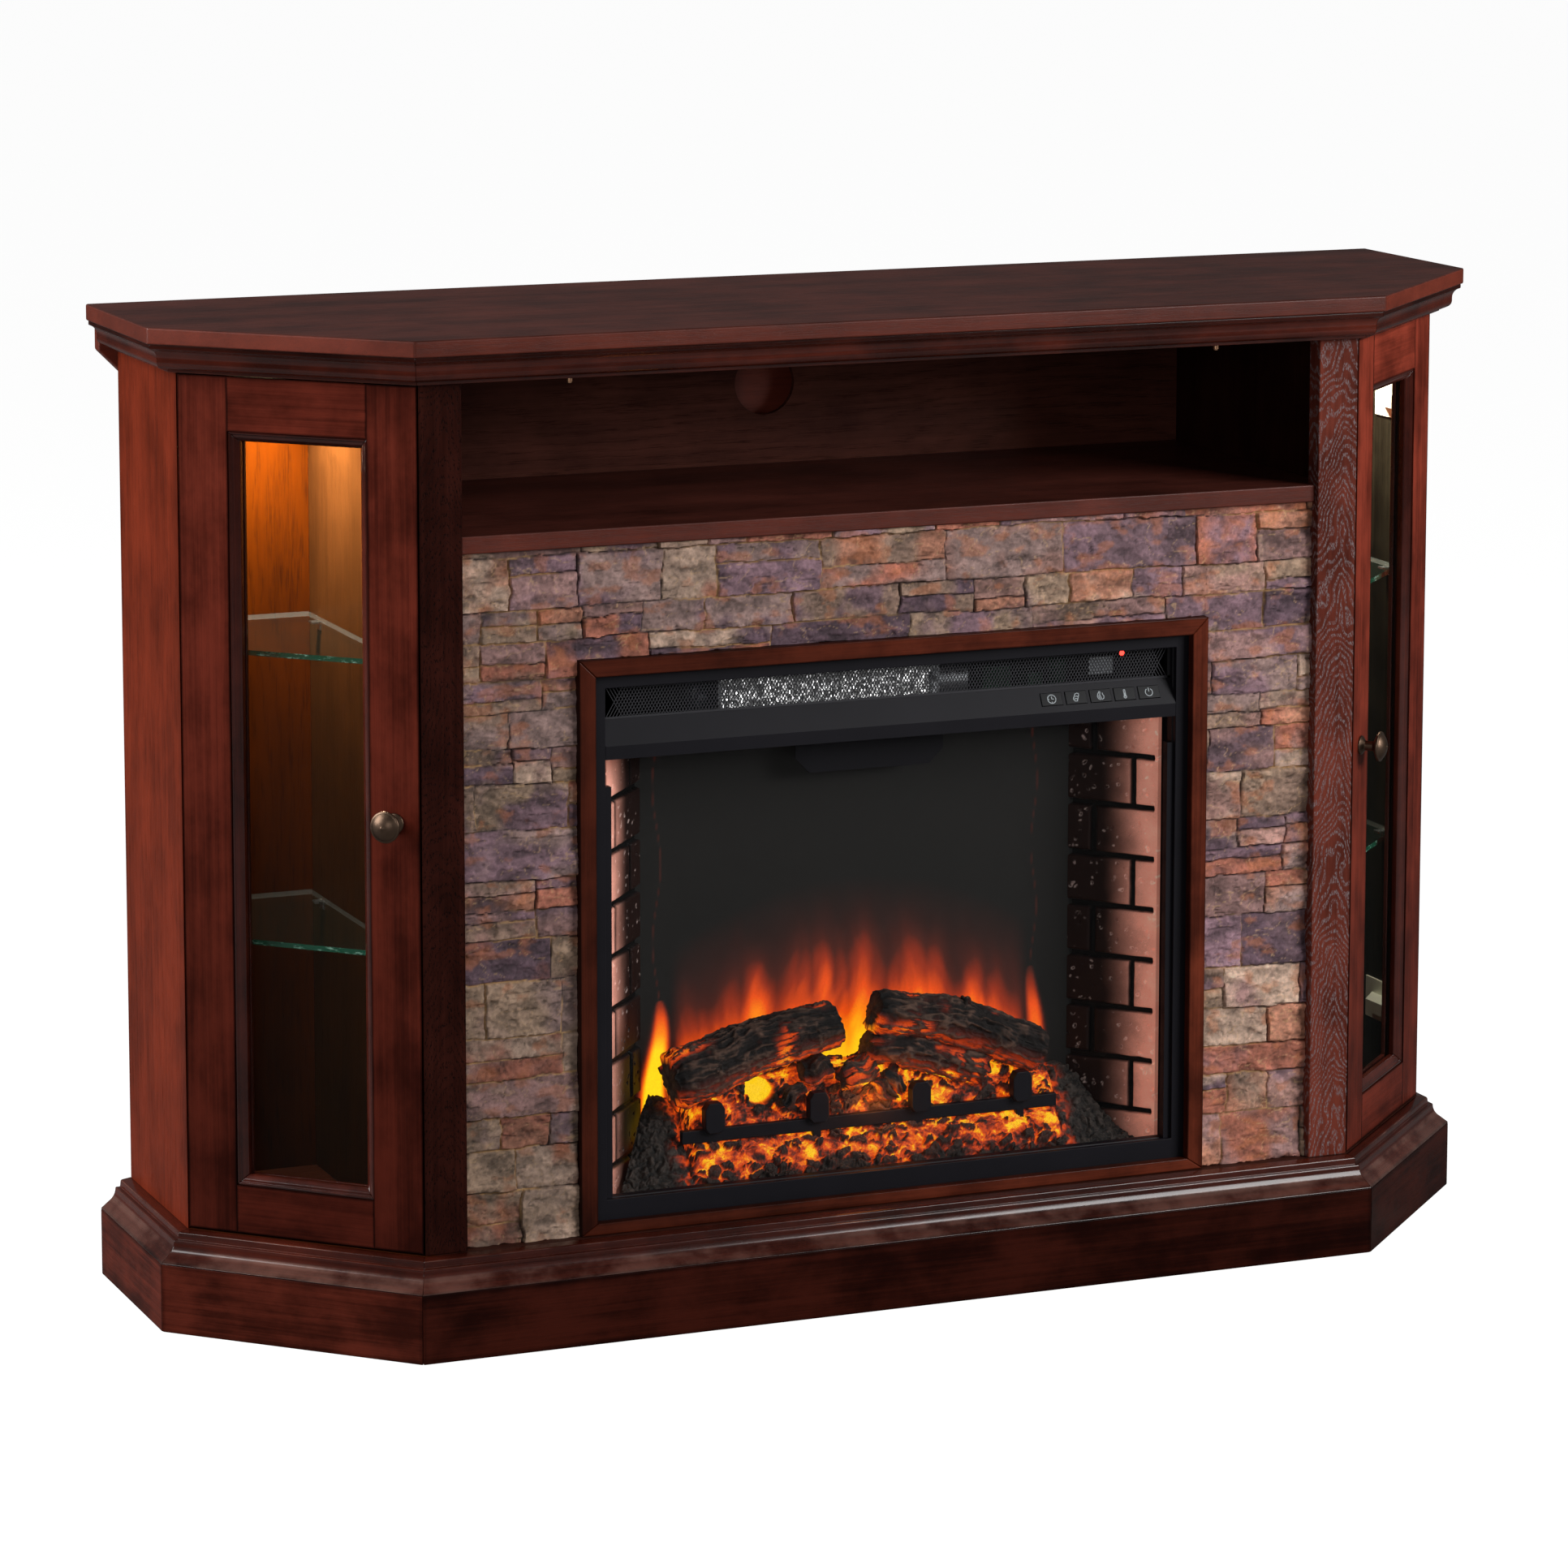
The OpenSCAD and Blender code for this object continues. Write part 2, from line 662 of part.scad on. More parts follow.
module left_door_frame() { color(wood) placed() mirror([1, 0, 0]) door_frame(); }
module left_door_bead() { color(dark_wood) placed() mirror([1, 0, 0]) door_bead(); }
module left_door_glass() { color(glass_c) placed() mirror([1, 0, 0]) door_glass(); }
module left_door_knob() { color("#8a7a62") placed() mirror([1, 0, 0]) door_knob(); }
module left_hinge_cups() { color(bright) placed() mirror([1, 0, 0]) hinge_cups(); }
module right_door_frame() { color(wood) placed() door_frame(); }
module right_door_bead() { color(dark_wood) placed() door_bead(); }
module right_door_glass() { color(glass_c) placed() door_glass(); }
module right_door_knob() { color("#8a7a62") placed() door_knob(); }
module right_hinge_cups() { color(bright) placed() hinge_cups(); }

// ---- folding corner leaf -------------------------------------------------

leaf_half = hw + overhang - leaf_in;
leaf_z1 = pin_z - pin_off;

module corner_leaf() {
    drop = leaf_half - leaf_tip;
    end_z = leaf_z1 - leaf_end;
    color(dark_wood) placed() translate([0, leaf_back, 0]) rotate([90, 0, 0]) linear_extrude(leaf_t)
        polygon([[-leaf_half, leaf_z1], [-leaf_half, end_z], [-leaf_tip, end_z - drop],
                 [leaf_tip, end_z - drop], [leaf_half, end_z], [leaf_half, leaf_z1]]);
}

// Fixed halves of the hinges with their pins, and the wall brackets of the stays
module leaf_hinges() {
    third = leaf_hinge_l/3;
    color(bright) placed() {
        for (i = [-1:1]) translate([i*leaf_hinge_pitch, pin_y, pin_z]) {
            for (s = [-1, 1]) {
                rod(s*third - third/2 + 0.1, s*third + third/2 - 0.1, knuckle_r);
                box([s*third - third/2 + 0.1, -13, under_top - pin_z - plate_t],
                    [s*third + third/2 - 0.1, 0.5, under_top - pin_z]);
            }
            box([-leaf_hinge_l/2, -13, under_top - pin_z - plate_t],
                [leaf_hinge_l/2, -knuckle_r - 1.5, under_top - pin_z]);
            rod(-leaf_hinge_l/2 + 0.2, leaf_hinge_l/2 - 0.2, pin_r);
        }
        both() translate([stay_x, back_y, pin_z - stay_drop]) {
            box([-28, 0, -14], [-2, plate_t, 14]);
            box([-4, 0, -link_w/2], [-2, -back_y/2, link_w/2]);
            translate([0, -back_y/2, 0]) {
                rod(-4, -2, link_w/2);
                rod(-4.5, 0.8, pivot_r);
            }
        }
    }
}

// Moving halves of the hinges, and the brackets of the stays on the leaf
module leaf_hinge_flaps() {
    third = leaf_hinge_l/3;
    flap_y = pin_off - plate_t;
    color(bright) placed() {
        for (i = [-1:1]) translate([i*leaf_hinge_pitch, pin_y, pin_z]) difference() {
            union() {
                rod(-third/2 + 0.2, third/2 - 0.2, knuckle_r);
                box([-third/2 + 0.2, flap_y, -8], [third/2 - 0.2, pin_off, 0]);
                box([-leaf_hinge_l/2, flap_y, -34], [leaf_hinge_l/2, pin_off, -5]);
            }
            rod(-third, third, pin_r + run_gap);
        }
        both() translate([stay_x, pin_y, pin_z - stay_drop]) {
            box([4, flap_y, -14], [30, pin_off, 14]);
            box([4, pivot_y, -link_w/2], [6, pin_off, link_w/2]);
            translate([0, pivot_y, 0]) {
                rod(4, 6, link_w/2);
                rod(1.2, 6.5, pivot_r);
            }
        }
    }
}

// A flat link that hangs down from its pivot
module stay_link() {
    difference() {
        union() {
            rod(0, link_t, link_w/2);
            translate([0, 0, -link_l]) rod(0, link_t, link_w/2);
            box([0, -link_w/2, -link_l], [link_t, link_w/2, 0]);
        }
        rod(-1, link_t + 1, pivot_r + run_gap);
        translate([0, 0, -link_l]) rod(-1, link_t + 1, pivot_r + run_gap);
    }
}

module stay_wall_links() {
    color(bright) placed() both() translate([stay_x - 1.6, pin_y + pivot_y, pin_z - stay_drop])
        stay_link();
}

module stay_leaf_links() {
    color(bright) placed() both() translate([stay_x + 1.6, pin_y + pivot_y, pin_z - stay_drop])
        stay_link();
}

// ---- firebox -------------------------------------------------------------

// Frame of the sloped part of the visor: z points out of its face
module at_slope(x) {
    translate([x, (frame_y + grille_y)/2, visor_bottom + lip_h + (visor_h - lip_h)/2])
        rotate([visor_tilt, 0, 0]) children();
}

module at_keys() { for (i = [0:4]) at_slope(key_x + i*key_pitch) children(); }

module insert_casing() {
    c = casing_half;
    color(steel) placed() {
        difference() {
            box([-c, casing_y, floor_z], [c, casing_back, casing_top]);
            box([-inner_half, casing_y - 1, casing_floor],
                [inner_half, casing_back - sheet_t, casing_top - sheet_t]);
            translate([c - 76, casing_back + 1, floor_z + 60]) rotate([90, 0, 0])
                cylinder(r = 9 + fit_gap, h = sheet_t + 2, $fn = 48);
            for (i = [-8:8], z = [0:1])
                box([i*28 - 9, casing_back - sheet_t - 1, casing_top - 22 - z*12],
                    [i*28 + 9, casing_back + 1, casing_top - 18 - z*12]);
        }
        box([-inner_half, casing_y + 6, ceiling_z],
            [inner_half, casing_back - sheet_t, ceiling_z + sheet_t]);
        translate([0, wheel_y - 6, 0]) rotate([90, 0, 0]) linear_extrude(sheet_t) difference() {
            translate([-73, ceiling_z - 44]) square([146, 45]);
            for (s = [-1, 1]) translate([s*73, ceiling_z - 44]) rotate(45)
                square([20, 20], center = true);
        }
        for (s = [-1, 1]) difference() {
            box([s*(rotor_l/2 + 8) - 1, rotor_y - 16, casing_floor],
                [s*(rotor_l/2 + 8) + 1, rotor_y + 16, rotor_z + 14]);
            translate([0, rotor_y, rotor_z]) rod(-rotor_l, rotor_l, shaft_r + run_gap);
        }
    }
}

module insert_frame() {
    color(steel) placed() {
        difference() {
            box([-frame_half, frame_y, frame_z0], [frame_half, frame_y + frame_t, frame_z1]);
            box([-bar_half, frame_y - 1, bar_bottom], [bar_half, casing_y, bar_top]);
        }
        difference() {
            box([-web_half, frame_y + frame_t, bar_bottom - 8], [web_half, casing_y, bar_top + 8]);
            box([-bar_half, frame_y - 1, bar_bottom], [bar_half, casing_y + 1, bar_top]);
        }
        both() for (z = [bar_bottom + 30, ceiling_z - 40])
            translate([bar_half - 10, frame_y + frame_t, z - 6]) cube([11, 9, 12]);
    }
}

module visor() {
    x = bar_half - fit_gap;
    g = grille_y + 1.5;
    f = frame_y + 1.5;
    h = visor_bottom + lip_h;
    color(steel) placed() difference() {
        union() {
            translate([-x, 0, 0]) rotate([90, 0, 90]) linear_extrude(2*x)
                polygon([[frame_y, h], [frame_y, visor_bottom], [frame_y + 10, visor_bottom],
                         [frame_y + 10, visor_bottom + 1.5], [f, visor_bottom + 1.5],
                         [f, h - 0.8], [g, grille_z - 0.8], [g, grille_z], [grille_y, grille_z]]);
            for (dx = [-19, 4*key_pitch + 19]) at_slope(key_x + dx)
                translate([0, 0, -5.6]) cylinder(r = 2.5, h = 5, $fn = 32);
            for (s = [-1, 1]) at_slope(s*(x - 1)) translate([-1, -8, -9]) cube([2, 16, 8.5]);
        }
        at_keys() cube([key_l + 2*key_gap, key_w + 2*key_gap, 6], center = true);
    }
}

// The cap of a key, with the skirt that keeps it behind the visor
module key_cap(i) {
    color("#15171a") placed() at_slope(key_x + i*key_pitch) {
        translate([-key_l/2, -key_w/2, -3.2]) cube([key_l, key_w, 4]);
        translate([-key_l/2 - 1, -key_w/2 - 1, -3.2]) cube([key_l + 2, key_w + 2, 1.2]);
    }
}

module timer_key() { key_cap(0); }
module ember_key() { key_cap(1); }
module flame_key() { key_cap(2); }
module heat_key() { key_cap(3); }
module power_key() { key_cap(4); }

led_x = key_x + 3*key_pitch;

module vent_grille() {
    x = bar_half - fit_gap;
    w = 2*(x - 6)/grille_slots;
    rows = 3;
    h = (grille_h - 6)/rows;
    color(steel) placed() difference() {
        box([-x, grille_y, grille_z + fit_gap], [x, grille_y + 1.5, bar_top - fit_gap]);
        for (i = [0:grille_slots - 1], j = [0:rows - 1])
            box([-x + 6 + i*w + 1.2, grille_y - 1, grille_z + 3 + j*h + 1.2],
                [-x + 6 + (i + 1)*w - 1.2, grille_y + 3, grille_z + 3 + (j + 1)*h - 1.2]);
        translate([led_x, grille_y + 3, bar_top - 4]) rotate([90, 0, 0])
            cylinder(r = 2.5 + fit_gap, h = 6, $fn = 32);
    }
}

// Red running light, and the window of the remote control receiver
module indicator_lights() {
    color("#d01010") placed() {
        translate([led_x, grille_y + 7, bar_top - 4]) rotate([90, 0, 0])
            cylinder(r = 2.5, h = 8, $fn = 32);
        translate([led_x, grille_y + 7, bar_top - 4]) rotate([90, 0, 0])
            cylinder(r = 3.5, h = 5.3, $fn = 32);
        box([led_x - 32, grille_y + 1.6, grille_z + 8], [led_x - 9, grille_y + 6, bar_top - 7]);
    }
}

heat_x0 = -(wheel_l/2) - 55;
heat_x1 = heat_x0 + wheel_l;

// Blower housing with its outlet towards the grille
module heater_box() {
    x0 = heat_x0 - 6;
    x1 = heat_x1 + 6;
    z0 = ceiling_z + sheet_t;
    z1 = casing_top - sheet_t;
    front = grille_y + 12;
    color("#9aa0a6") placed() difference() {
        box([x0, front, z0], [x1, wheel_y + wheel_r + 5, z1]);
        translate([0, wheel_y, wheel_z]) rod(x0 + 3, x1 - 3, wheel_r + 2);
        box([x0 + 3, front - 1, z0 + 3], [x1 - 3, wheel_y, z1 - 3]);
        translate([0, wheel_y, wheel_z]) rod(x0 - 1, x1 + 1, shaft_r + run_gap);
        translate([0, wheel_y, wheel_z]) rod(x0 - 1, x0 + 4, wheel_r*0.7);
    }
}

// Two insulating bars with the bent ribbon between them
module heater_element() {
    x0 = heat_x0 - 2;
    x1 = heat_x1 + 2;
    y = grille_y + 18;
    z0 = ceiling_z + sheet_t + 3.1;
    z1 = casing_top - sheet_t - 3.1;
    color(bright) placed() {
        box([x0, y, z0], [x1, y + 12, z0 + 5]);
        box([x0, y, z1 - 5], [x1, y + 12, z1]);
        for (i = [0:35]) translate([x0 + 4 + i*(x1 - x0 - 9)/35, y + 2, z0 + 4])
            cube([0.8, 8, z1 - z0 - 8]);
    }
}

module blower_wheel() {
    color("#33373c") placed() translate([0, wheel_y, wheel_z]) {
        rod(heat_x0 - 9, heat_x1 + 16, shaft_r);
        for (x = [heat_x0 + 3, (heat_x0 + heat_x1)/2, heat_x1 - 5]) rod(x, x + 2, wheel_r);
        for (i = [0:19]) rotate([i*18, 0, 0])
            translate([heat_x0 + 3, wheel_r - 7, 0]) cube([wheel_l - 6, 6, 1]);
    }
}

// Blower motor and flame motor, each on its bracket
module small_motors() {
    z0 = ceiling_z + sheet_t;
    color("#6c7075") placed() {
        difference() {
            union() {
                translate([0, wheel_y, wheel_z]) rod(heat_x1 + 8, heat_x1 + 46, 20);
                box([heat_x1 + 12, wheel_y - 14, z0], [heat_x1 + 42, wheel_y + 14, wheel_z]);
            }
            translate([0, wheel_y, wheel_z]) rod(heat_x1, heat_x1 + 20, shaft_r + run_gap);
        }
        difference() {
            union() {
                translate([0, rotor_y, rotor_z]) rod(rotor_l/2 + 9, rotor_l/2 + 34, 13);
                box([rotor_l/2 + 9, rotor_y - 10, casing_floor],
                    [rotor_l/2 + 20, rotor_y + 10, rotor_z]);
            }
            translate([0, rotor_y, rotor_z]) rod(0, rotor_l/2 + 20, shaft_r + run_gap);
        }
    }
}

// A shaft with bent foil fins that throws the moving light on the screen
module flame_rotor() {
    color("#d8dadc") placed() translate([0, rotor_y, rotor_z]) {
        rod(-rotor_l/2 - 12, rotor_l/2 + 16, shaft_r);
        for (x = [-rotor_l/2 + 4, rotor_l/2 - 6]) rod(x, x + 2, rotor_r*0.6);
        for (i = [0:11]) translate([-rotor_l/2 + 10 + i*(rotor_l - 44)/11, 0, 0])
            rotate([i*75, 0, 0]) for (a = [0, 120, 240]) rotate([a, 0, 0])
                translate([0, 1, -0.5]) cube([24, rotor_r - 1, 1]);
    }
}

// Key board under the visor, supply board over the firebox, light board under the embers
module circuit_boards() {
    z0 = ceiling_z + sheet_t;
    y = screen_y + 20;
    color("#1f5a32") placed() {
        at_slope(key_x + 2*key_pitch) {
            translate([-2*key_pitch - 22, -8, -6.1 - key_travel]) cube([4*key_pitch + 44, 16, 1.6]);
            for (i = [-2:2]) translate([i*key_pitch - 3, -3, -4.6 - key_travel]) cube([6, 6, 1]);
        }
        translate([bar_half - 154, y, z0]) {
            box([0, 0, 5], [120, 66, 6.6]);
            for (p = [[5, 5], [115, 5], [5, 61], [115, 61]])
                translate([p[0], p[1], 0]) cylinder(r = 3, h = 5.5, $fn = 32);
            box([15, 12, 6], [43, 40, 28]);
            box([60, 10, 6], [75, 32, 20]);
            translate([97, 24, 6]) cylinder(r = 9, h = 24, $fn = 40);
        }
        box([-170, casing_y + 22, casing_floor], [170, casing_y + 42, casing_floor + 1.6]);
        for (i = [-6:6]) box([i*26 - 3, casing_y + 29, casing_floor + 1], [i*26 + 3, casing_y + 35, casing_floor + 3]);
        box([-170, screen_y + 6, casing_floor], [170, screen_y + 10, casing_floor + 24]);
    }
}

module front_glass() {
    x = bar_half - 0.2;
    color(glass_c) placed() box([-x, casing_y - 4, bar_bottom + 0.2], [x, casing_y - 1, ceiling_z - 8]);
}

module flame_screen() {
    x = screen_half + 6;
    color([0.12, 0.12, 0.12, 0.8]) placed()
        box([-x, screen_y, casing_floor + fit_gap], [x, screen_y + 3, ceiling_z - fit_gap]);
}

// Splayed side panels, moulded as courses of firebrick
module brick_panels() {
    x0 = bar_half - 8;
    x1 = screen_half + 0.5;
    run = norm([x0 - x1, fire_d - 4]);
    z1 = ceiling_z - fit_gap;
    rows = round((z1 - casing_floor)/brick_h);
    h = (z1 - casing_floor)/rows;
    color("#a06a50") placed() for (s = [0, 1]) mirror([s, 0, 0])
        translate([x0, casing_y + 2, casing_floor]) rotate(atan2(fire_d - 4, x1 - x0)) {
            translate([0, -brick_t, fit_gap])
                cube([run - brick_t, brick_t - 2.5, z1 - casing_floor - fit_gap]);
            for (r = [0:rows - 1]) {
                cut = r % 2 == 0 ? run*0.72 : run*0.28;
                translate([0, -2.6, r*h + 2]) cube([cut - 1.5, 2.6, h - 4]);
                translate([cut + 1.5, -2.6, r*h + 2]) cube([run - cut - 1.5, 2.6, h - 4]);
            }
        }
}

// One log: a round bar between two points
module log_bar(a, b, r) {
    v = b - a;
    translate(a) rotate([0, acos(v[2]/norm(v)), atan2(v[1], v[0])])
        cylinder(r = r, h = norm(v), $fn = 48);
}

log_k = screen_half/212;
log_y = screen_y - 38*log_k;
ash_y = casing_y + 8;

// Height of the ash at y
function ash_z(y) = ash_front_z - 14 + ash_rise*(y - ash_y)/(screen_y - ash_y);

// What rests on the ash, trimmed to its slope
module on_ash() {
    intersection() {
        children();
        translate([-bar_half + 18, 0, 0]) rotate([90, 0, 90]) linear_extrude(2*bar_half - 36)
            polygon([[ash_y, ash_z(ash_y) + seat], [ash_y, ceiling_z - 8], [screen_y - 1, ceiling_z - 8],
                     [screen_y - 1, ash_z(screen_y - 1) + seat]]);
    }
}

module log_set() {
    color("#7a5238") placed() on_ash() translate([0, log_y, casing_floor]) {
        log_bar([-194, 0, 118]*log_k, [-38, 0, 151]*log_k, log_r);
        log_bar([-2, 0, 165]*log_k, [166, 0, 112]*log_k, log_r*0.8);
        log_bar([-2, 1, 127]*log_k, [100, 1, 94]*log_k, log_r*0.6);
        log_bar([-186, 18, 84]*log_k, [186, 18, 84]*log_k, log_r*0.65);
        for (x = [-140, 0, 140]) box([x - 12, 8, 20]*log_k, [x + 12, 28, 78]*log_k);
    }
}

module ash_bed() {
    color("#4a4440") placed() difference() {
        intersection() {
            translate([-bar_half + 18, 0, 0]) rotate([90, 0, 90]) linear_extrude(2*bar_half - 36)
                polygon([[ash_y, casing_floor], [ash_y, ash_z(ash_y)],
                         [screen_y - seat, ash_z(screen_y - seat)], [screen_y - seat, casing_floor]]);
            translate([0, 0, casing_floor - 1]) linear_extrude(80)
                polygon([[-bar_half + 18, ash_y - 1], [bar_half - 18, ash_y - 1],
                         [screen_half - 7, screen_y], [-screen_half + 7, screen_y]]);
        }
        box([-180, ash_y + 4, casing_floor - 1], [180, screen_y - 20, casing_floor + 9]);
    }
}

// Rows of glowing coals, before and behind the front bar of the grate
module ember_bed() {
    color("#ff7a30") placed() on_ash() for (row = [0, 1]) {
        y = ash_y + 2 + row*20;
        x = screen_half - 35;
        box([-x, y, ash_z(y)], [x, y + 9, ash_z(y + 9) + 5]);
        for (i = [0:27]) translate([(i/27 - 0.5)*2*(x - 7.5), y + 5, ash_z(y)])
            rotate(40*i) cylinder(r = 5.6, h = 19 + 5*sin(97*i + 50*row), $fn = 7);
    }
}

// Front bar on four feet, with a tall faceted lug in front of each
module grate() {
    y = ash_y + 14;
    z = ash_z(y);
    color("#26282a") placed() on_ash() {
        box([-192, y, z + 35], [180, y + 7, z + 47]);
        for (x = [-162, -60, 41, 143]) {
            box([x - 4, y, z], [x + 4, y + 7, z + 38]);
            translate([x, y + 5, z + 58]) rotate([90, 0, 0]) linear_extrude(11)
                polygon([[-6, -14], [6, -14], [9.5, -9], [9.5, 8], [6, 14], [-6, 14], [-9.5, 8], [-9.5, -9]]);
        }
    }
}

module cord_gland() {
    color("#101214") placed() translate([casing_half - 76, casing_back, floor_z + 60])
        rotate([-90, 0, 0]) difference() {
            union() {
                translate([0, 0, -sheet_t - 4]) cylinder(r = 9, h = 22, $fn = 48);
                cylinder(r = 13, h = 5, $fn = 6);
            }
            translate([0, 0, -10]) cylinder(r = 4, h = 40, $fn = 40);
        }
}

top_panel();
crown_moulding();
top_rails();
base_cap_moulding();
plinth_boards();
base_rails();
bottom_panel();
side_panels();
partitions();
pilasters();
back_panel();
media_shelf();
bay_screws();
stone_panels();
firebox_trim();
glass_shelves();
shelf_pins();
puck_lights();
puck_lenses();
door_catches();
hinge_arms();
left_door_frame();
left_door_bead();
left_door_glass();
left_door_knob();
left_hinge_cups();
right_door_frame();
right_door_bead();
right_door_glass();
right_door_knob();
right_hinge_cups();
corner_leaf();
leaf_hinges();
leaf_hinge_flaps();
stay_wall_links();
stay_leaf_links();
insert_casing();
insert_frame();
visor();
vent_grille();
heater_box();
heater_element();
blower_wheel();
small_motors();
circuit_boards();
indicator_lights();
timer_key();
ember_key();
flame_key();
heat_key();
power_key();
front_glass();
flame_screen();
brick_panels();
log_set();
grate();
ember_bed();
ash_bed();
flame_rotor();
cord_gland();
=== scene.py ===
import math
from itertools import product

import bmesh
import bpy
import numpy as np
from mathutils import Matrix, Vector


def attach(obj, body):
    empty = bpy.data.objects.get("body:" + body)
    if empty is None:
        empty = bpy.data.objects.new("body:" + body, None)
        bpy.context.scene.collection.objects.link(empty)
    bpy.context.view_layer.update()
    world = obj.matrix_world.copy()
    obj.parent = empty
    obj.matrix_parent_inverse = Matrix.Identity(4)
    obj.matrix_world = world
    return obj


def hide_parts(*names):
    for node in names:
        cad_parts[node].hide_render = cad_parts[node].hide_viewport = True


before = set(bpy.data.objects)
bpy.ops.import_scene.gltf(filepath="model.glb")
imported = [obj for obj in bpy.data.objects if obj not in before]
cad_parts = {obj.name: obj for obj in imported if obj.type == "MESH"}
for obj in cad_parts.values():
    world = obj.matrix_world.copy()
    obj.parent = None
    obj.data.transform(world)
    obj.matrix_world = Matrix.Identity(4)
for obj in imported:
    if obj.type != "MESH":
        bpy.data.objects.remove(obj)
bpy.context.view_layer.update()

# Sizes are worked out in millimetres, with x to the right, y = 0 at the back edge of the top and z up.
TO_ORIGIN = 182.85            # the origin lies this far in front of the back edge of the top
STONE_FACE = -338.0           # front of the boards that carry the stone
STONE_FOOT, STONE_TOP = 89.2, 707.8
FLOOR = 91.0                  # floor of the firebox
INSIDE_FOOT, INSIDE_TOP = 91.2, 520.8   # heights between which its screen and bricks stand
SCREEN = -249.0               # front of the flame screen
ASH_FRONT, ASH_DEPTH = -313, 64
ASH_HALF_FRONT, ASH_HALF_BACK = 261, 205
# In metres from the middle, as the materials see it: where the tone of a board changes
PARTITION_MIDDLE, CURIO_WALL, SIDE_OUTSIDE = 0.4425, 0.445, 0.612


def metres(points):
    return (np.asarray(points, float) + (0, TO_ORIGIN, 0)) * 0.001


# ---- noise ----

def lattice_noise(p, seed=0):
    """Smooth noise from -1 to 1 at the points p, one lattice cell to a unit."""
    cell = np.floor(p).astype(np.int64)
    f = p - cell
    f = f * f * (3 - 2 * f)
    total = np.zeros(len(p))
    for corner in product((0, 1), repeat=3):
        c = cell + corner
        h = c[:, 0] * 374761393 + c[:, 1] * 668265263 + c[:, 2] * 2246822519 + seed * 3266489917 & 0xFFFFFFFF
        h = ((h ^ (h >> 13)) * 1274126177) & 0xFFFFFFFF
        value = ((h ^ (h >> 16)) & 0xFFFF) / 32767.5 - 1
        weight = np.prod([f[:, i] if corner[i] else 1 - f[:, i] for i in range(3)], axis=0)
        total += weight * value
    return total


def rough(p, size, octaves=4, seed=0, gain=0.5):
    """Noise with bumps of several sizes, the largest about "size" across."""
    p = np.asarray(p, float) / size
    total, amount = 0, 1.0
    for octave in range(octaves):
        total = total + amount * lattice_noise(p * 2.03 ** octave + 17.3 * octave, seed + octave)
        amount *= gain
    return total


def drift(p, size, octaves, seed):
    """A shift of its own for each point, along all three axes."""
    return np.column_stack([rough(p, size, octaves, seed + k) for k in range(3)])


def ramp(x, low, high):
    t = np.clip((x - low) / (high - low), 0, 1)
    return t * t * (3 - 2 * t)


def blend(a, b, share):
    return a * (1 - share) + b * share


def linear(*srgb):
    """A colour as the light it sends back, from its screen values."""
    c = np.array(srgb, float) / 255
    return np.where(c <= 0.04045, c / 12.92, ((c + 0.055) / 1.055) ** 2.4)


def scaled(colour, amount):
    return tuple(np.multiply(colour, amount))


# ---- shader maths ----

class Value:
    """A number, colour or vector inside a material, with plain arithmetic."""

    def __init__(self, finish, socket):
        self.finish, self.socket = finish, socket

    def maths(self, operation, *others):
        return self.finish.node("ShaderNodeMath", {"operation": operation}, dict(enumerate((self, *others))))

    def __add__(self, other): return self.maths("ADD", other)
    __radd__ = __add__
    def __mul__(self, other): return self.maths("MULTIPLY", other)
    __rmul__ = __mul__
    def __sub__(self, other): return self.maths("SUBTRACT", other)
    def __rsub__(self, other): return self * -1 + other
    def __abs__(self): return self.maths("ABSOLUTE")
    def low(self, other): return self.maths("MINIMUM", other)
    def high(self, other): return self.maths("MAXIMUM", other)
    def sine(self): return self.maths("SINE")

    def between(self, low, high, to_low=0.0, to_high=1.0):
        return self.finish.node("ShaderNodeMapRange", {"interpolation_type": "SMOOTHSTEP"},
                                {"Value": self, "From Min": low, "From Max": high, "To Min": to_low, "To Max": to_high})

    def parts(self):
        return [self.finish.node("ShaderNodeSeparateXYZ", {}, {0: self}, out=i) for i in range(3)]

    def stretched(self, x, y, z):
        return self.finish.node("ShaderNodeMapping", {}, {"Vector": self, "Scale": (x, y, z)})


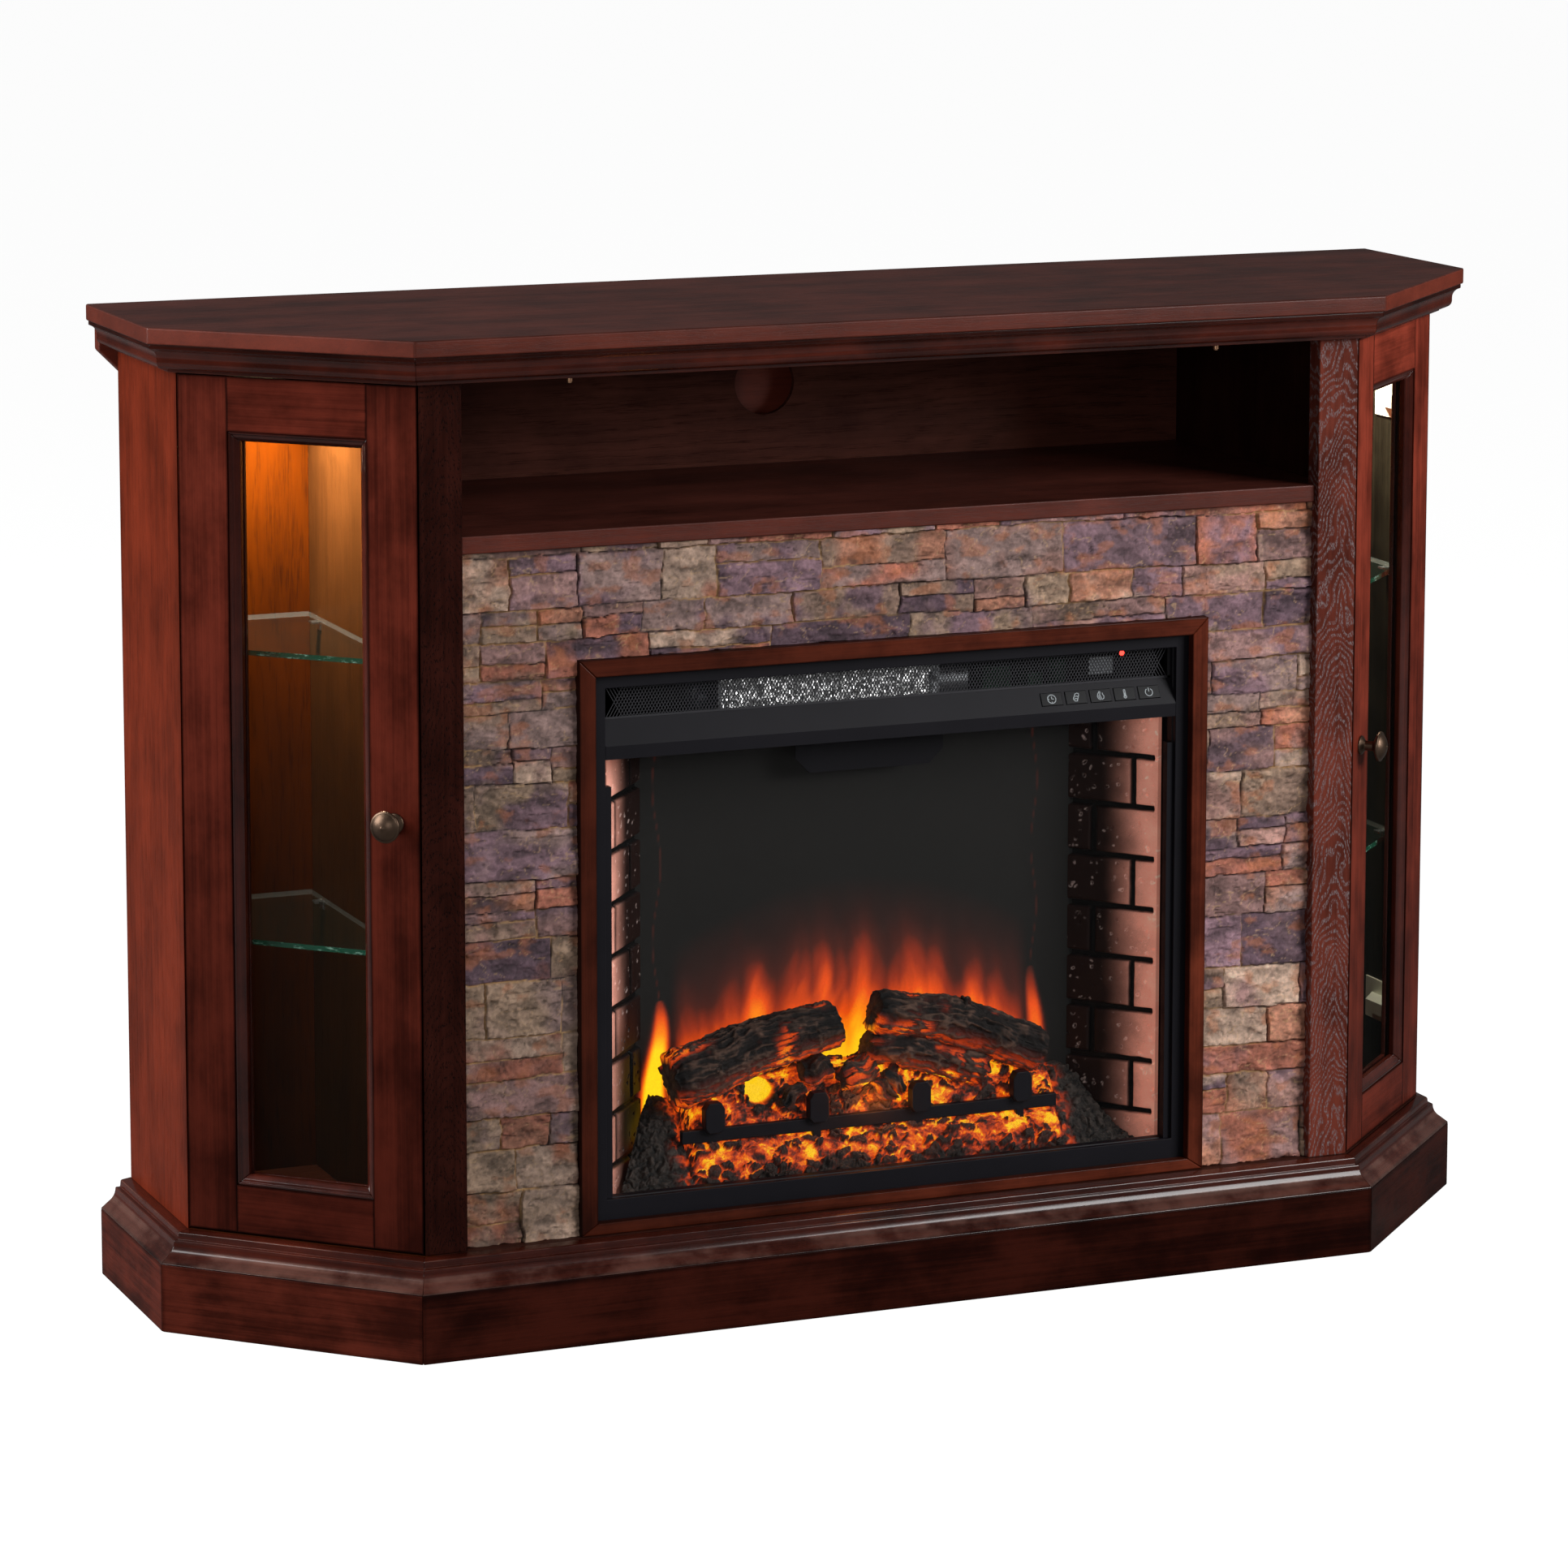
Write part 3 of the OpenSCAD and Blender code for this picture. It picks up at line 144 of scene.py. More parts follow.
class Finish:
    """One material, built round a Principled shader."""

    def __init__(self, name, **constants):
        self.material = bpy.data.materials.new(name)
        self.material.use_nodes = True
        self.tree = self.material.node_tree
        self.shader = next(n for n in self.tree.nodes if n.type == "BSDF_PRINCIPLED")
        self.set(**constants)

    def put(self, socket, value):
        if isinstance(value, Value):
            self.tree.links.new(value.socket, socket)
        elif hasattr(socket.default_value, "__len__") and len(socket.default_value) == 4 and len(value) == 3:
            socket.default_value = (*value, 1)
        else:
            socket.default_value = value

    def set(self, **values):
        for name, value in values.items():
            self.put(self.shader.inputs[name.replace("_", " ")], value)

    def node(self, kind, settings, inputs, out=0):
        n = self.tree.nodes.new(kind)
        for key, value in settings.items():
            setattr(n, key, value)
        for key, value in inputs.items():
            self.put(n.inputs[key], value)
        return Value(self, n.outputs[out])

    def place(self):
        return self.node("ShaderNodeTexCoord", {}, {}, out=3)

    def facing(self):
        return self.node("ShaderNodeNewGeometry", {}, {}, out=1)

    def attribute(self, name, out=0):
        return self.node("ShaderNodeAttribute", {"attribute_name": name}, {}, out=out)

    def noise(self, where, detail=4.0, roughness=0.55):
        return self.node("ShaderNodeTexNoise", {}, {"Vector": where, "Scale": 1.0, "Detail": detail,
                                                    "Roughness": roughness})

    def mix(self, amount, a, b):
        return self.node("ShaderNodeMix", {"data_type": "RGBA"}, {0: amount, 6: a, 7: b}, out=2)

    def shade(self, colour, amount):
        """The colour, darker or lighter by the number "amount"."""
        return self.node("ShaderNodeVectorMath", {"operation": "SCALE"}, {0: colour, "Scale": amount})

    def bump(self, height, distance, strength=1.0):
        return self.node("ShaderNodeBump", {}, {"Height": height, "Distance": distance, "Strength": strength})


# ---- finishes ----

def wood(name, tone, pores=0.5, figure=0.0, contrast=1.0, burnish=0.35, burnish_width=0.012, gloss=0.34,
         coat=0.03, specular=0.035, across=(1.0, 1.0), upward=(1.0, 1.0), cathedral=False, pore_reflection=0.0,
         other=None, other_from=CURIO_WALL, other_side=0, rim=None, turned=1.0, sheen=0.0):
    """Stained veneer of that tone. The grain runs along the first number of the "grain" attribute.

    across, upward: painted light and shade at the left and right of the cabinet, and at its foot and top
    burnish: how much darker the stain is at the edges; turned: painted shade, how light faces to the front and right
    are
    pore_reflection: a painted reflection in the pores, pale in the rings and more to the right
    rim: tone of upright faces, painted lighter as the light falls there; sheen: a painted highlight on rounded tops
    other: tone further out than other_from, or with other_side -1 only on faces to the front on the left
    """
    f = Finish(name, Coat_Weight=coat, Coat_Roughness=0.14, Specular_IOR_Level=specular)
    a, b, c = f.attribute("grain", out=1).parts()
    reach_a, reach_b, _ = f.attribute("reach", out=1).parts()
    board = f.attribute("board", out=2)
    here = f.node("ShaderNodeCombineXYZ", {}, {0: a + board * 3.7, 1: b + board * 1.9, 2: c + board * 5.3})
    broad = f.noise(here.stretched(3, 22, 22), detail=3)
    streak = f.noise(here.stretched(4, 240, 240), detail=5, roughness=0.7)
    cloud = f.noise(here.stretched(13, 17, 17), detail=5, roughness=0.6)
    if cathedral:
        wander = f.noise(here.stretched(13, 26, 26), detail=2)
        rings = (abs(b - 0.006) * 960 + a * 520 + wander * 66).sine().between(-0.3, 0.6)
        fine = f.noise(here.stretched(300, 900, 900), detail=2, roughness=0.7)
    else:
        wander = f.noise(here.stretched(2.4, 12, 12), detail=2)
        rings = (b * 520 + c * 90 + wander * 60).sine().between(-0.5, 0.9)
        fine = f.noise(here.stretched(36, 1300, 1300), detail=3, roughness=0.75)
    open_pore = fine.between(0.5, 0.6) * (rings * figure + (1 - figure) * 0.6) * pores
    tone_value = ((broad * 0.8 + streak * 0.7 + cloud * 1.2 - 1.35) * contrast * 1.6 + 0.5).between(-0.1, 1.1)
    edge = (reach_b - abs(b)).low(reach_a - abs(a)).high(0.0)
    worn = (edge + (cloud - 0.5) * burnish_width * 0.6).between(0.0, burnish_width, 1 - burnish, 1.0)
    colour = f.mix(tone_value, scaled(tone, 0.40), scaled(tone, (1.6, 1.7, 1.7)))
    nx, ny, nz = f.facing().parts()
    # Upright faces get a tone of their own, painted lighter as the light falls there
    if rim:
        colour = f.mix(abs(nz).between(0.3, 0.8), f.mix(tone_value, scaled(rim, 0.6), scaled(rim, 1.4)), colour)
    x, _, z = f.place().parts()
    if other:
        there = (abs(x) if other_side == 0 else x * other_side).between(other_from - 0.001, other_from + 0.001)
        if other_side:
            there = there * ny.between(-0.5, 0.5, 1.0, 0.0)
        colour = f.mix(there, colour, f.mix(tone_value, scaled(other, 0.65), scaled(other, 1.35)))
    # Painted light and shade: lighter or darker from left to right, from foot to top and by the way a face looks, over
    # the darker stain at the edges
    shade = (worn * x.between(-0.5, 0.5, *across) * z.between(0.1, 0.85, *upward)
             * nx.between(-0.6, -0.2, 1.0, turned))
    colour = f.shade(colour, (1 - open_pore * 0.72) * shade)
    # A painted highlight on rounded tops
    if sheen:
        round_top = nz.between(0.4, 0.55) * nz.between(0.72, 0.85, 1.0, 0.0)
        colour = f.mix(round_top * cloud.between(0.38, 0.6) * sheen, colour, (0.42, 0.26, 0.21))
    # A painted reflection in the open pores, pale in the rings and more to the right
    if pore_reflection:
        lit_pores = (rings * fine.between(0.42, 0.66)).low(1.0) * x.between(0.0, 0.4, 0.0, pore_reflection)
        colour = f.mix(lit_pores, colour, (0.33, 0.255, 0.260))
    f.set(Base_Color=colour, Roughness=gloss + open_pore * 0.3 + cloud * 0.08,
          Normal=f.bump(streak * 0.2 - open_pore, 0.00015, 0.7))
    return f.material


def speckled(f, colour, roughness, grain, cloud_size, vary, swing, bump, detail=(4, 3)):
    """A plain surface: its colour varies in clouds, and its gloss and level in a fine grain, which is returned."""
    place = f.place()
    cloud = f.noise(place.stretched(cloud_size, cloud_size, cloud_size), detail=detail[0])
    fine = f.noise(place.stretched(*grain), detail=detail[1])
    shown = f.mix(cloud, *colour) if len(colour) == 2 else f.shade(colour, 1 - vary + cloud * vary * 2)
    f.set(Base_Color=shown, Roughness=roughness - swing / 2 + fine * swing, Normal=f.bump(fine, bump, 0.6))
    return fine


def metal(name, colour, roughness=0.35, metallic=1.0, wear=0.12, grain=(300, 300, 300), bump=0.00003, glint=0.0):
    """Bare or plated metal. "glint" lights its grain, as bright folds do that catch the studio lamps."""
    f = Finish(name, Metallic=metallic, Emission_Strength=glint)
    fine = speckled(f, colour, roughness, grain, 30, wear, 0.12, bump)
    if glint:
        # The glints are painted highlights, brighter at the foot of the ribbon
        lower = f.place().parts()[2].between(0.555, 0.575, 1.0, 0.25)
        f.set(Emission_Color=f.shade(colour, fine.between(0.58, 0.7) * lower))
    return f.material


def black_paint():
    """Matt powder coat over sheet steel, with a fine leathery skin."""
    f = Finish("black_powder_coat", Specular_IOR_Level=0.15)
    speckled(f, (linear(16, 15, 20), linear(25, 23, 29)), 0.48, (900, 900, 900), 18, 0, 0.12, 0.00005, (3, 3))
    return f.material


def plastic(name, colour, roughness=0.4, vary=0.1, specular=0.5):
    f = Finish(name, Specular_IOR_Level=specular)
    speckled(f, colour, roughness, (500, 500, 500), 40, vary, 0.1, 0.00002, (3, 2))
    return f.material


def glass(name):
    f = Finish(name, Specular_IOR_Level=0.4, IOR=1.45)
    smear = f.noise(f.place().stretched(9, 9, 9), detail=3)
    f.set(Roughness=smear.between(0.3, 0.8, 0.015, 0.05))
    return f, smear


def pane_glass(name, tint, alpha):
    f, smear = glass(name)
    f.set(Alpha=alpha, Base_Color=f.shade(tint, 0.95 + smear * 0.1))
    return f.material


def shelf_glass(name, tint, alpha, edge_tint, edge_alpha, back):
    """A glass shelf: see-through on its faces, deeper in colour on its cut edges, faint on those at the back."""
    f, _ = glass(name)
    place = f.place()
    _, ny, nz = f.facing().parts()
    face = abs(nz).between(0.4, 0.7)
    hidden = ny.between(-0.5, -0.3).high(place.parts()[1].between(back - 0.004, back - 0.003))
    # Painted glints along the cut edges
    glint = f.noise(place.stretched(70, 70, 300), roughness=0.7).between(0.55, 0.72)
    edge = f.mix(hidden, f.mix(glint, edge_tint, (0.42, 0.72, 0.58)), (0.5, 0.55, 0.5))
    f.set(Base_Color=f.mix(face, edge, tint),
          Alpha=face * (alpha - edge_alpha) + edge_alpha - hidden * (1 - face) * 0.6)
    return f.material


def painted_relief(name, roughness, size, contrast, bump, lamp=0.0, specular=0.35):
    """Colour from the mesh's "tint", broken up by mottling. A "glow" attribute lights it where lamp is above 0."""
    f = Finish(name, Specular_IOR_Level=specular)
    place = f.place()
    mottle = f.noise(place.stretched(size, size, size), detail=6, roughness=0.68)
    grit = f.noise(place.stretched(size * 9, size * 9, size * 9), roughness=0.7)
    mottling = mottle.between(0.25, 0.75, 1 - contrast, 1 + contrast) * (grit * 0.5 + 0.75)
    f.set(Base_Color=f.shade(f.attribute("tint"), mottling), Roughness=roughness - 0.05 + mottle * 0.1,
          Normal=f.bump(mottle * 0.6 + grit * 0.4, bump, 0.9))
    if lamp:
        flicker = grit.between(0.3, 0.7, 1 - contrast * 1.4, 1 + contrast * 0.6)
        f.set(Emission_Strength=lamp, Emission_Color=f.shade(f.attribute("glow"), flicker))
    return f.material


def lamp(name, colour, strength):
    f = Finish(name, Roughness=0.5, Emission_Strength=strength)
    soft = f.noise(f.place().stretched(120, 120, 120), detail=2)
    glow = f.shade(colour, 0.9 + soft * 0.2)
    f.set(Base_Color=glow, Emission_Color=glow)
    return f.material


MAHOGANY = (0.100, 0.0150, 0.0080)
CURIO_AMBER, CURIO_BROWN = (0.115, 0.0205, 0.0004), (0.100, 0.0320, 0.0070)
# Several settings below paint light and shade into the wood: across, upward, turned, rim, sheen and the pale pore
# reflection
oak_top = wood("stained_oak_top", (0.085, 0.019, 0.0125), pores=0.5, contrast=0.65, burnish=0.35,
               burnish_width=0.002, gloss=0.36, coat=0.07, specular=0.22, rim=(0.165, 0.0290, 0.0150))
oak_side = wood("stained_oak_side", (0.011, 0.0085, 0.0050), pores=0.6, figure=0.5, burnish=0.2, specular=0.04,
                other=(0.150, 0.0205, 0.0075), other_from=SIDE_OUTSIDE)
oak_door = wood("stained_oak_door", MAHOGANY, pores=0.2, burnish=0.75, burnish_width=0.0022,
                across=(0.95, 1.7), upward=(0.6, 1.3))
oak_bead = wood("stained_oak_bead", (0.060, 0.0100, 0.0060), pores=0.1, burnish=0.3, burnish_width=0.001,
                gloss=0.2, coat=0.9)
oak_pilaster = wood("stained_oak_pilaster", (0.072, 0.0145, 0.0090), pores=1.1, figure=0.95, contrast=0.8,
                    burnish=0.15, burnish_width=0.003, across=(0.4, 1.8), cathedral=True, pore_reflection=0.66)
oak_back = wood("stained_oak_back", (0.082, 0.024, 0.0160), pores=0.75, figure=0.7, contrast=0.5, burnish=0.0,
                gloss=0.42, other=CURIO_AMBER, other_side=-1, upward=(0.5, 1.03))
oak_inside = wood("stained_oak_inside", (0.022, 0.0060, 0.0040), pores=0.35, figure=0.3, contrast=0.7,
                  burnish=0.1, gloss=0.3, other=CURIO_BROWN, other_from=PARTITION_MIDDLE, upward=(0.5, 1.03))
oak_mould = wood("stained_oak_moulding", (0.074, 0.0105, 0.0048), pores=0.4, burnish=0.6, burnish_width=0.0025,
                 gloss=0.22, coat=0.8, upward=(0.7, 0.95), sheen=0.2)
oak_trim = wood("stained_oak_trim", (0.085, 0.0150, 0.0065), pores=0.25, burnish=0.6, burnish_width=0.002,
                coat=0.15, across=(0.5, 1.5))
oak_plinth = wood("stained_oak_plinth", (0.034, 0.0056, 0.0030), pores=0.3, contrast=1.3, burnish=0.4,
                  burnish_width=0.005, gloss=0.3, coat=0.05, across=(2.4, 1.7), turned=0.45)
poplar = wood("plain_poplar", (0.40, 0.28, 0.16), pores=0.15, contrast=0.6, burnish=0.1, gloss=0.6, coat=0.0)
black_steel = black_paint()
zinc = metal("bright_zinc", (0.62, 0.63, 0.64), 0.28)
hinge_plate = metal("hinge_plate", (0.78, 0.79, 0.66), 0.36, metallic=0.4)
grey_steel = metal("grey_sheet_steel", (0.42, 0.43, 0.45), 0.42)
mesh_steel = metal("mesh_steel", (0.042, 0.041, 0.046), 0.5, metallic=0.6)
aged_nickel = metal("aged_nickel", (0.125, 0.080, 0.055), 0.4, wear=0.3, bump=0.00005)
copper_screw = metal("copper_screw", (0.62, 0.34, 0.20), 0.3)
ribbon_steel = metal("ribbon_steel", (0.5, 0.5, 0.5), 0.3, metallic=0.8, wear=0.04, grain=(900, 900, 240),
                     glint=11.0)
foil = metal("bright_foil", (0.82, 0.83, 0.84), 0.12)
board_green = plastic("circuit_board", (0.030, 0.125, 0.055), 0.35)
key_black = plastic("key_plastic", (0.0065, 0.0065, 0.0075), 0.4, vary=0.05, specular=0.14)
icon_grey = plastic("icon_print", (0.36, 0.40, 0.42), 0.5)
receiver_white = plastic("receiver_window", (0.42, 0.44, 0.46), 0.3)
soft_white = plastic("catch_plastic", (0.66, 0.63, 0.56), 0.4)
door_pane = pane_glass("door_glass", (0.04, 0.045, 0.04), 0.035)
fire_pane = pane_glass("firebox_glass", (0.03, 0.03, 0.03), 0.03)
shelf_pane = shelf_glass("shelf_glass", (0.03, 0.06, 0.045), 0.05, (0.006, 0.085, 0.045), 0.85,
                         max(v.co.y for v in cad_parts["glass_shelves"].data.vertices))
stone_paint = painted_relief("ledger_stone", 0.62, 230, 0.20, 0.0022)
brick_paint = painted_relief("firebrick", 0.5, 90, 0.12, 0.00015, specular=0.1, lamp=1.0)
log_paint = painted_relief("charred_log", 0.8, 150, 0.38, 0.0022, lamp=1.0)
screen_paint = painted_relief("smoked_screen", 0.4, 60, 0.05, 0.00002, lamp=1.0, specular=0.25)
coal_paint = painted_relief("coals", 0.8, 210, 0.3, 0.0009, lamp=1.0)
puck_lens = lamp("puck_lens", (1.0, 0.72, 0.38), 6.0)
led_red = lamp("running_light", (1.0, 0.03, 0.02), 5.0)


# ---- meshes ----

def piece(name, points, faces, material, body="cabinet", slot=None, replaces=(), crease=35, **attributes):
    """A mesh from points in millimetres. Attributes are one vector or colour for each point."""
    mesh = bpy.data.meshes.new(name)
    mesh.from_pydata(metres(points).tolist(), [], [tuple(int(i) for i in f) for f in faces])
    for key, values in attributes.items():
        layer = mesh.attributes.new(key, "FLOAT_COLOR", "POINT")
        layer.data.foreach_set("color", np.column_stack([values, np.ones(len(values))]).ravel())
    return finish_piece(name, mesh, material, body, replaces, crease)


def into_scene(name, data):
    ob = bpy.data.objects.new(name, data)
    bpy.context.scene.collection.objects.link(ob)
    return ob


def finish_piece(name, mesh, material, body, replaces, crease):
    mesh.validate()
    mesh.polygons.foreach_set("use_smooth", [True] * len(mesh.polygons))
    mesh.set_sharp_from_angle(angle=math.radians(crease))
    mesh.materials.append(material)
    ob = into_scene(name, mesh)
    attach(ob, body)
    if replaces:
        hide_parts(*([replaces] if isinstance(replaces, str) else replaces))
    return ob


def islands(bm):
    """The separate solids of a mesh, as lists of vertices."""
    bm.verts.ensure_lookup_table()
    seen, found = set(), []
    for start in bm.verts:
        if start in seen:
            continue
        group, queue = [], [start]
        seen.add(start)
        while queue:
            v = queue.pop()
            group.append(v)
            for e in v.link_edges:
                o = e.other_vert(v)
                if o not in seen:
                    seen.add(o)
                    queue.append(o)
        found.append(group)
    return found


def merged(node):
    """A node's solids with their flat faces made whole."""
    bm = bmesh.new()
    bm.from_mesh(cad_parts[node].data)
    bmesh.ops.remove_doubles(bm, verts=bm.verts[:], dist=2e-6)
    bmesh.ops.dissolve_limit(bm, angle_limit=math.radians(0.6), verts=bm.verts[:], edges=bm.edges[:])
    return bm


def ease(bm, radius, segments=2):
    """Rounds the sharp edges, as sanding does."""
    sharp = [e for e in bm.edges if len(e.link_faces) == 2 and e.calc_face_angle(0) > math.radians(28)]
    bmesh.ops.bevel(bm, geom=sharp, offset=radius * 0.001, offset_type="OFFSET", segments=segments,
                    profile=0.5, affect="EDGES", clamp_overlap=True)


def board_axes(points):
    """The turn that sets a board straight, and its axes from the longest to the shortest."""
    best = None
    for yaw in (0, 45, -45):
        turn = np.array(Matrix.Rotation(math.radians(-yaw), 3, "Z"))
        p = points @ turn.T
        size = p.max(0) - p.min(0)
        if best is None or size.prod() < best[0] * 0.98:
            best = (size.prod(), turn, size)
    return best[1], np.argsort(-best[2])


def eased_piece(name, bm, material, body, node):
    mesh = bpy.data.meshes.new(name)
    bm.to_mesh(mesh)
    bm.free()
    return flat_faced(finish_piece(name, mesh, material, body, node, 40))


def flat_faced(ob):
    """Keeps broad faces flat in the light, so that only their rounded edges turn."""
    even = ob.modifiers.new("flat_faces", "WEIGHTED_NORMAL")
    even.weight, even.keep_sharp = 100, True
    return ob


def boards(node, material, radius, body="cabinet", segments=2):
    """The boards of a node with eased edges, each with its grain along its length."""
    bm = merged(node)
    ease(bm, radius, segments)
    grain = bm.verts.layers.float_vector.new("grain")
    reach = bm.verts.layers.float_vector.new("reach")
    number = bm.verts.layers.float.new("board")
    for index, group in enumerate(islands(bm)):
        points = np.array([v.co for v in group])
        turn, order = board_axes(points)
        p = (points @ turn.T)[:, order]
        centre, half = (p.max(0) + p.min(0)) / 2, (p.max(0) - p.min(0)) / 2
        for v, q in zip(group, p - centre):
            v[grain], v[reach] = Vector(q), Vector(half)
            v[number] = (index * 0.618 + len(node) * 0.37) % 1
    return eased_piece(node + "_boards", bm, material, body, node)


def smoothed(node, material, radius, body="cabinet", inset=0.0):
    """A node with its edges rounded. Its faces lie a little inside the drawn ones where it needs play."""
    bm = merged(node)
    ease(bm, radius)
    if inset:
        bm.normal_update()
        moves = [(v, v.normal * v.calc_shell_factor() * inset * 0.001) for v in bm.verts]
        for v, move in moves:
            v.co -= move
    return eased_piece(node + "_eased", bm, material, body, node)


def grid_faces(rows, columns):
    i = np.arange(rows * columns).reshape(rows, columns)
    return [tuple(f) for f in np.stack([i[:-1, :-1], i[:-1, 1:], i[1:, 1:], i[1:, :-1]], -1).reshape(-1, 4)]


# ---- reliefs ----

def upright(y):
    """Puts a relief on an upright plane that faces forward."""
    return lambda u, v, rise: np.column_stack([u, y - rise, v])


def relief(name, u, v, rise, depth, at, material, flip=False, back_shade=1.0, **more):
    """A moulded sheet: a grid (u, v) with its relief in front and a flat back. "at" puts (u, v, rise) in space."""
    rows, columns = u.shape
    u, v = u.ravel(), v.ravel()
    front = at(u, v, rise)
    i = np.arange(rows * columns).reshape(rows, columns)
    rim = np.concatenate([i[0, :-1], i[:-1, -1], i[-1, :0:-1], i[:0:-1, 0]])
    back = at(u[rim], v[rim], np.full(len(rim), -float(depth)))
    n, m = len(front), len(rim)
    faces = grid_faces(rows, columns)
    faces += [(rim[k], n + k, n + (k + 1) % m, rim[(k + 1) % m]) for k in range(m)]
    faces.append(tuple(range(n + m - 1, n - 1, -1)))
    if flip:
        faces = [f[::-1] for f in faces]
    for key in ("tint", "glow"):
        if key in more:
            more[key] = np.vstack([more[key], more[key][rim] * back_shade])
    return piece(name, np.vstack([front, back]), faces, material, **more)


def cells(p, seed=0):
    """Distances to the nearest and next nearest of points scattered one to a unit cube, and the first one's number."""
    base = np.floor(p).astype(np.int64)
    near, nxt, number = np.full(len(p), 9.0), np.full(len(p), 9.0), np.zeros(len(p), np.int64)
    for step in product((-1, 0, 1), repeat=3):
        c = base + step
        h = (c[:, 0] * 73856093 ^ c[:, 1] * 19349663 ^ c[:, 2] * 83492791 ^ seed * 2654435761) & 0xFFFFFFFF
        h = ((h ^ (h >> 15)) * 2246822519) & 0xFFFFFFFF
        spot = c + np.stack([(h >> s & 255) / 255 for s in (0, 8, 16)], -1)
        d = np.linalg.norm(p - spot, axis=1)
        closer = d < near
        nxt = np.where(closer, near, np.minimum(nxt, d))
        near, number = np.where(closer, d, near), np.where(closer, h & 65535, number)
    return near, nxt, number


def lumps(p, size, small_size, seeds, edges):
    """Lumps and crumbs from 0 in their seams to 1, the distance to the nearest seam, and their numbers."""
    near, nxt, number = cells(p / size, seeds[0])
    small, small_next, chip = cells(p / small_size, seeds[1])
    return ramp(nxt - near, 0.02, edges[0]), ramp(small_next - small, 0, edges[1]), nxt - near, number, chip


def fire_colour(heat):
    """Colour of a glowing coal or of the flame picture, from 0, which is out, to 1, which is yellow."""
    stops = (0, 0.18, 0.38, 0.6, 0.8, 1.0)
    table = np.array(((0, 0, 0), (0.055, 0.006, 0.002), (0.28, 0.022, 0.003), (0.78, 0.072, 0.003),
                      (1.0, 0.24, 0.004), (1.15, 0.70, 0.01)))
    heat = np.clip(heat, 0, 1)
    return np.stack([np.interp(heat, stops, table[:, i]) for i in range(3)], -1)


# ---- cabinet ----

boards("top_panel", oak_top, 1.8, segments=3)
boards("crown_moulding", oak_mould, 0.6)
boards("top_rails", oak_mould, 0.8)
boards("base_cap_moulding", oak_mould, 0.7)
boards("plinth_boards", oak_plinth, 1.0)
boards("base_rails", poplar, 0.8)
boards("bottom_panel", oak_back, 0.6)
boards("side_panels", oak_side, 1.0)
boards("partitions", oak_inside, 0.8)
boards("pilasters", oak_pilaster, 1.2)
boards("back_panel", oak_back, 0.4)
boards("media_shelf", oak_top, 1.5, segments=3)
boards("firebox_trim", oak_trim, 1.2)
boards("corner_leaf", oak_top, 1.5, body="leaf")
for side in ("left", "right"):
    boards(side + "_door_frame", oak_door, 1.0, body=side + "_door")
    boards(side + "_door_bead", oak_bead, 0.6, body=side + "_door")
    smoothed(side + "_door_knob", aged_nickel, 0.5, side + "_door")


# ---- stone surround ----

NO_CUT = 9.0   # above the stone's own height, which counts as 1


def ledger_layout(seed=11):
    """Split stone over the whole front: courses of (bottom, height, edges, cuts across, first stone's number)."""
    rng = np.random.default_rng(seed)
    z, rows, count = 60.0, [], 0
    while z < 730:
        h = rng.uniform(26, 50)
        edges, x = [], -440.0 - rng.uniform(0, 60)
        while x < 470:
            edges.append(x)
            x += rng.uniform(34, 140)
        n = len(edges)
        cut = np.where(rng.random(n) < 0.36, rng.uniform(0.34, 0.66, n), NO_CUT)
        rows.append((z, h, np.array(edges + [x]), cut, count))
        count += 2 * n
        z += h
    return rows, count


ledger, stone_count = ledger_layout()
stone_rng = np.random.default_rng(5)
STONE_COLOURS = np.array([linear(*c) for c in (
    (146, 124, 118), (158, 136, 114), (138, 116, 100), (160, 100, 80), (94, 76, 88), (156, 122, 112),
    (124, 100, 110), (186, 162, 142), (106, 86, 94), (142, 112, 108), (168, 118, 94))])
stone_first = STONE_COLOURS[stone_rng.integers(0, len(STONE_COLOURS), stone_count)]
stone_second = STONE_COLOURS[stone_rng.integers(0, len(STONE_COLOURS), stone_count)]
stone_out = stone_rng.uniform(0.7, 3.6, stone_count)
stone_tilt = stone_rng.uniform(-1, 1, (stone_count, 2)) * (0.04, 0.11)


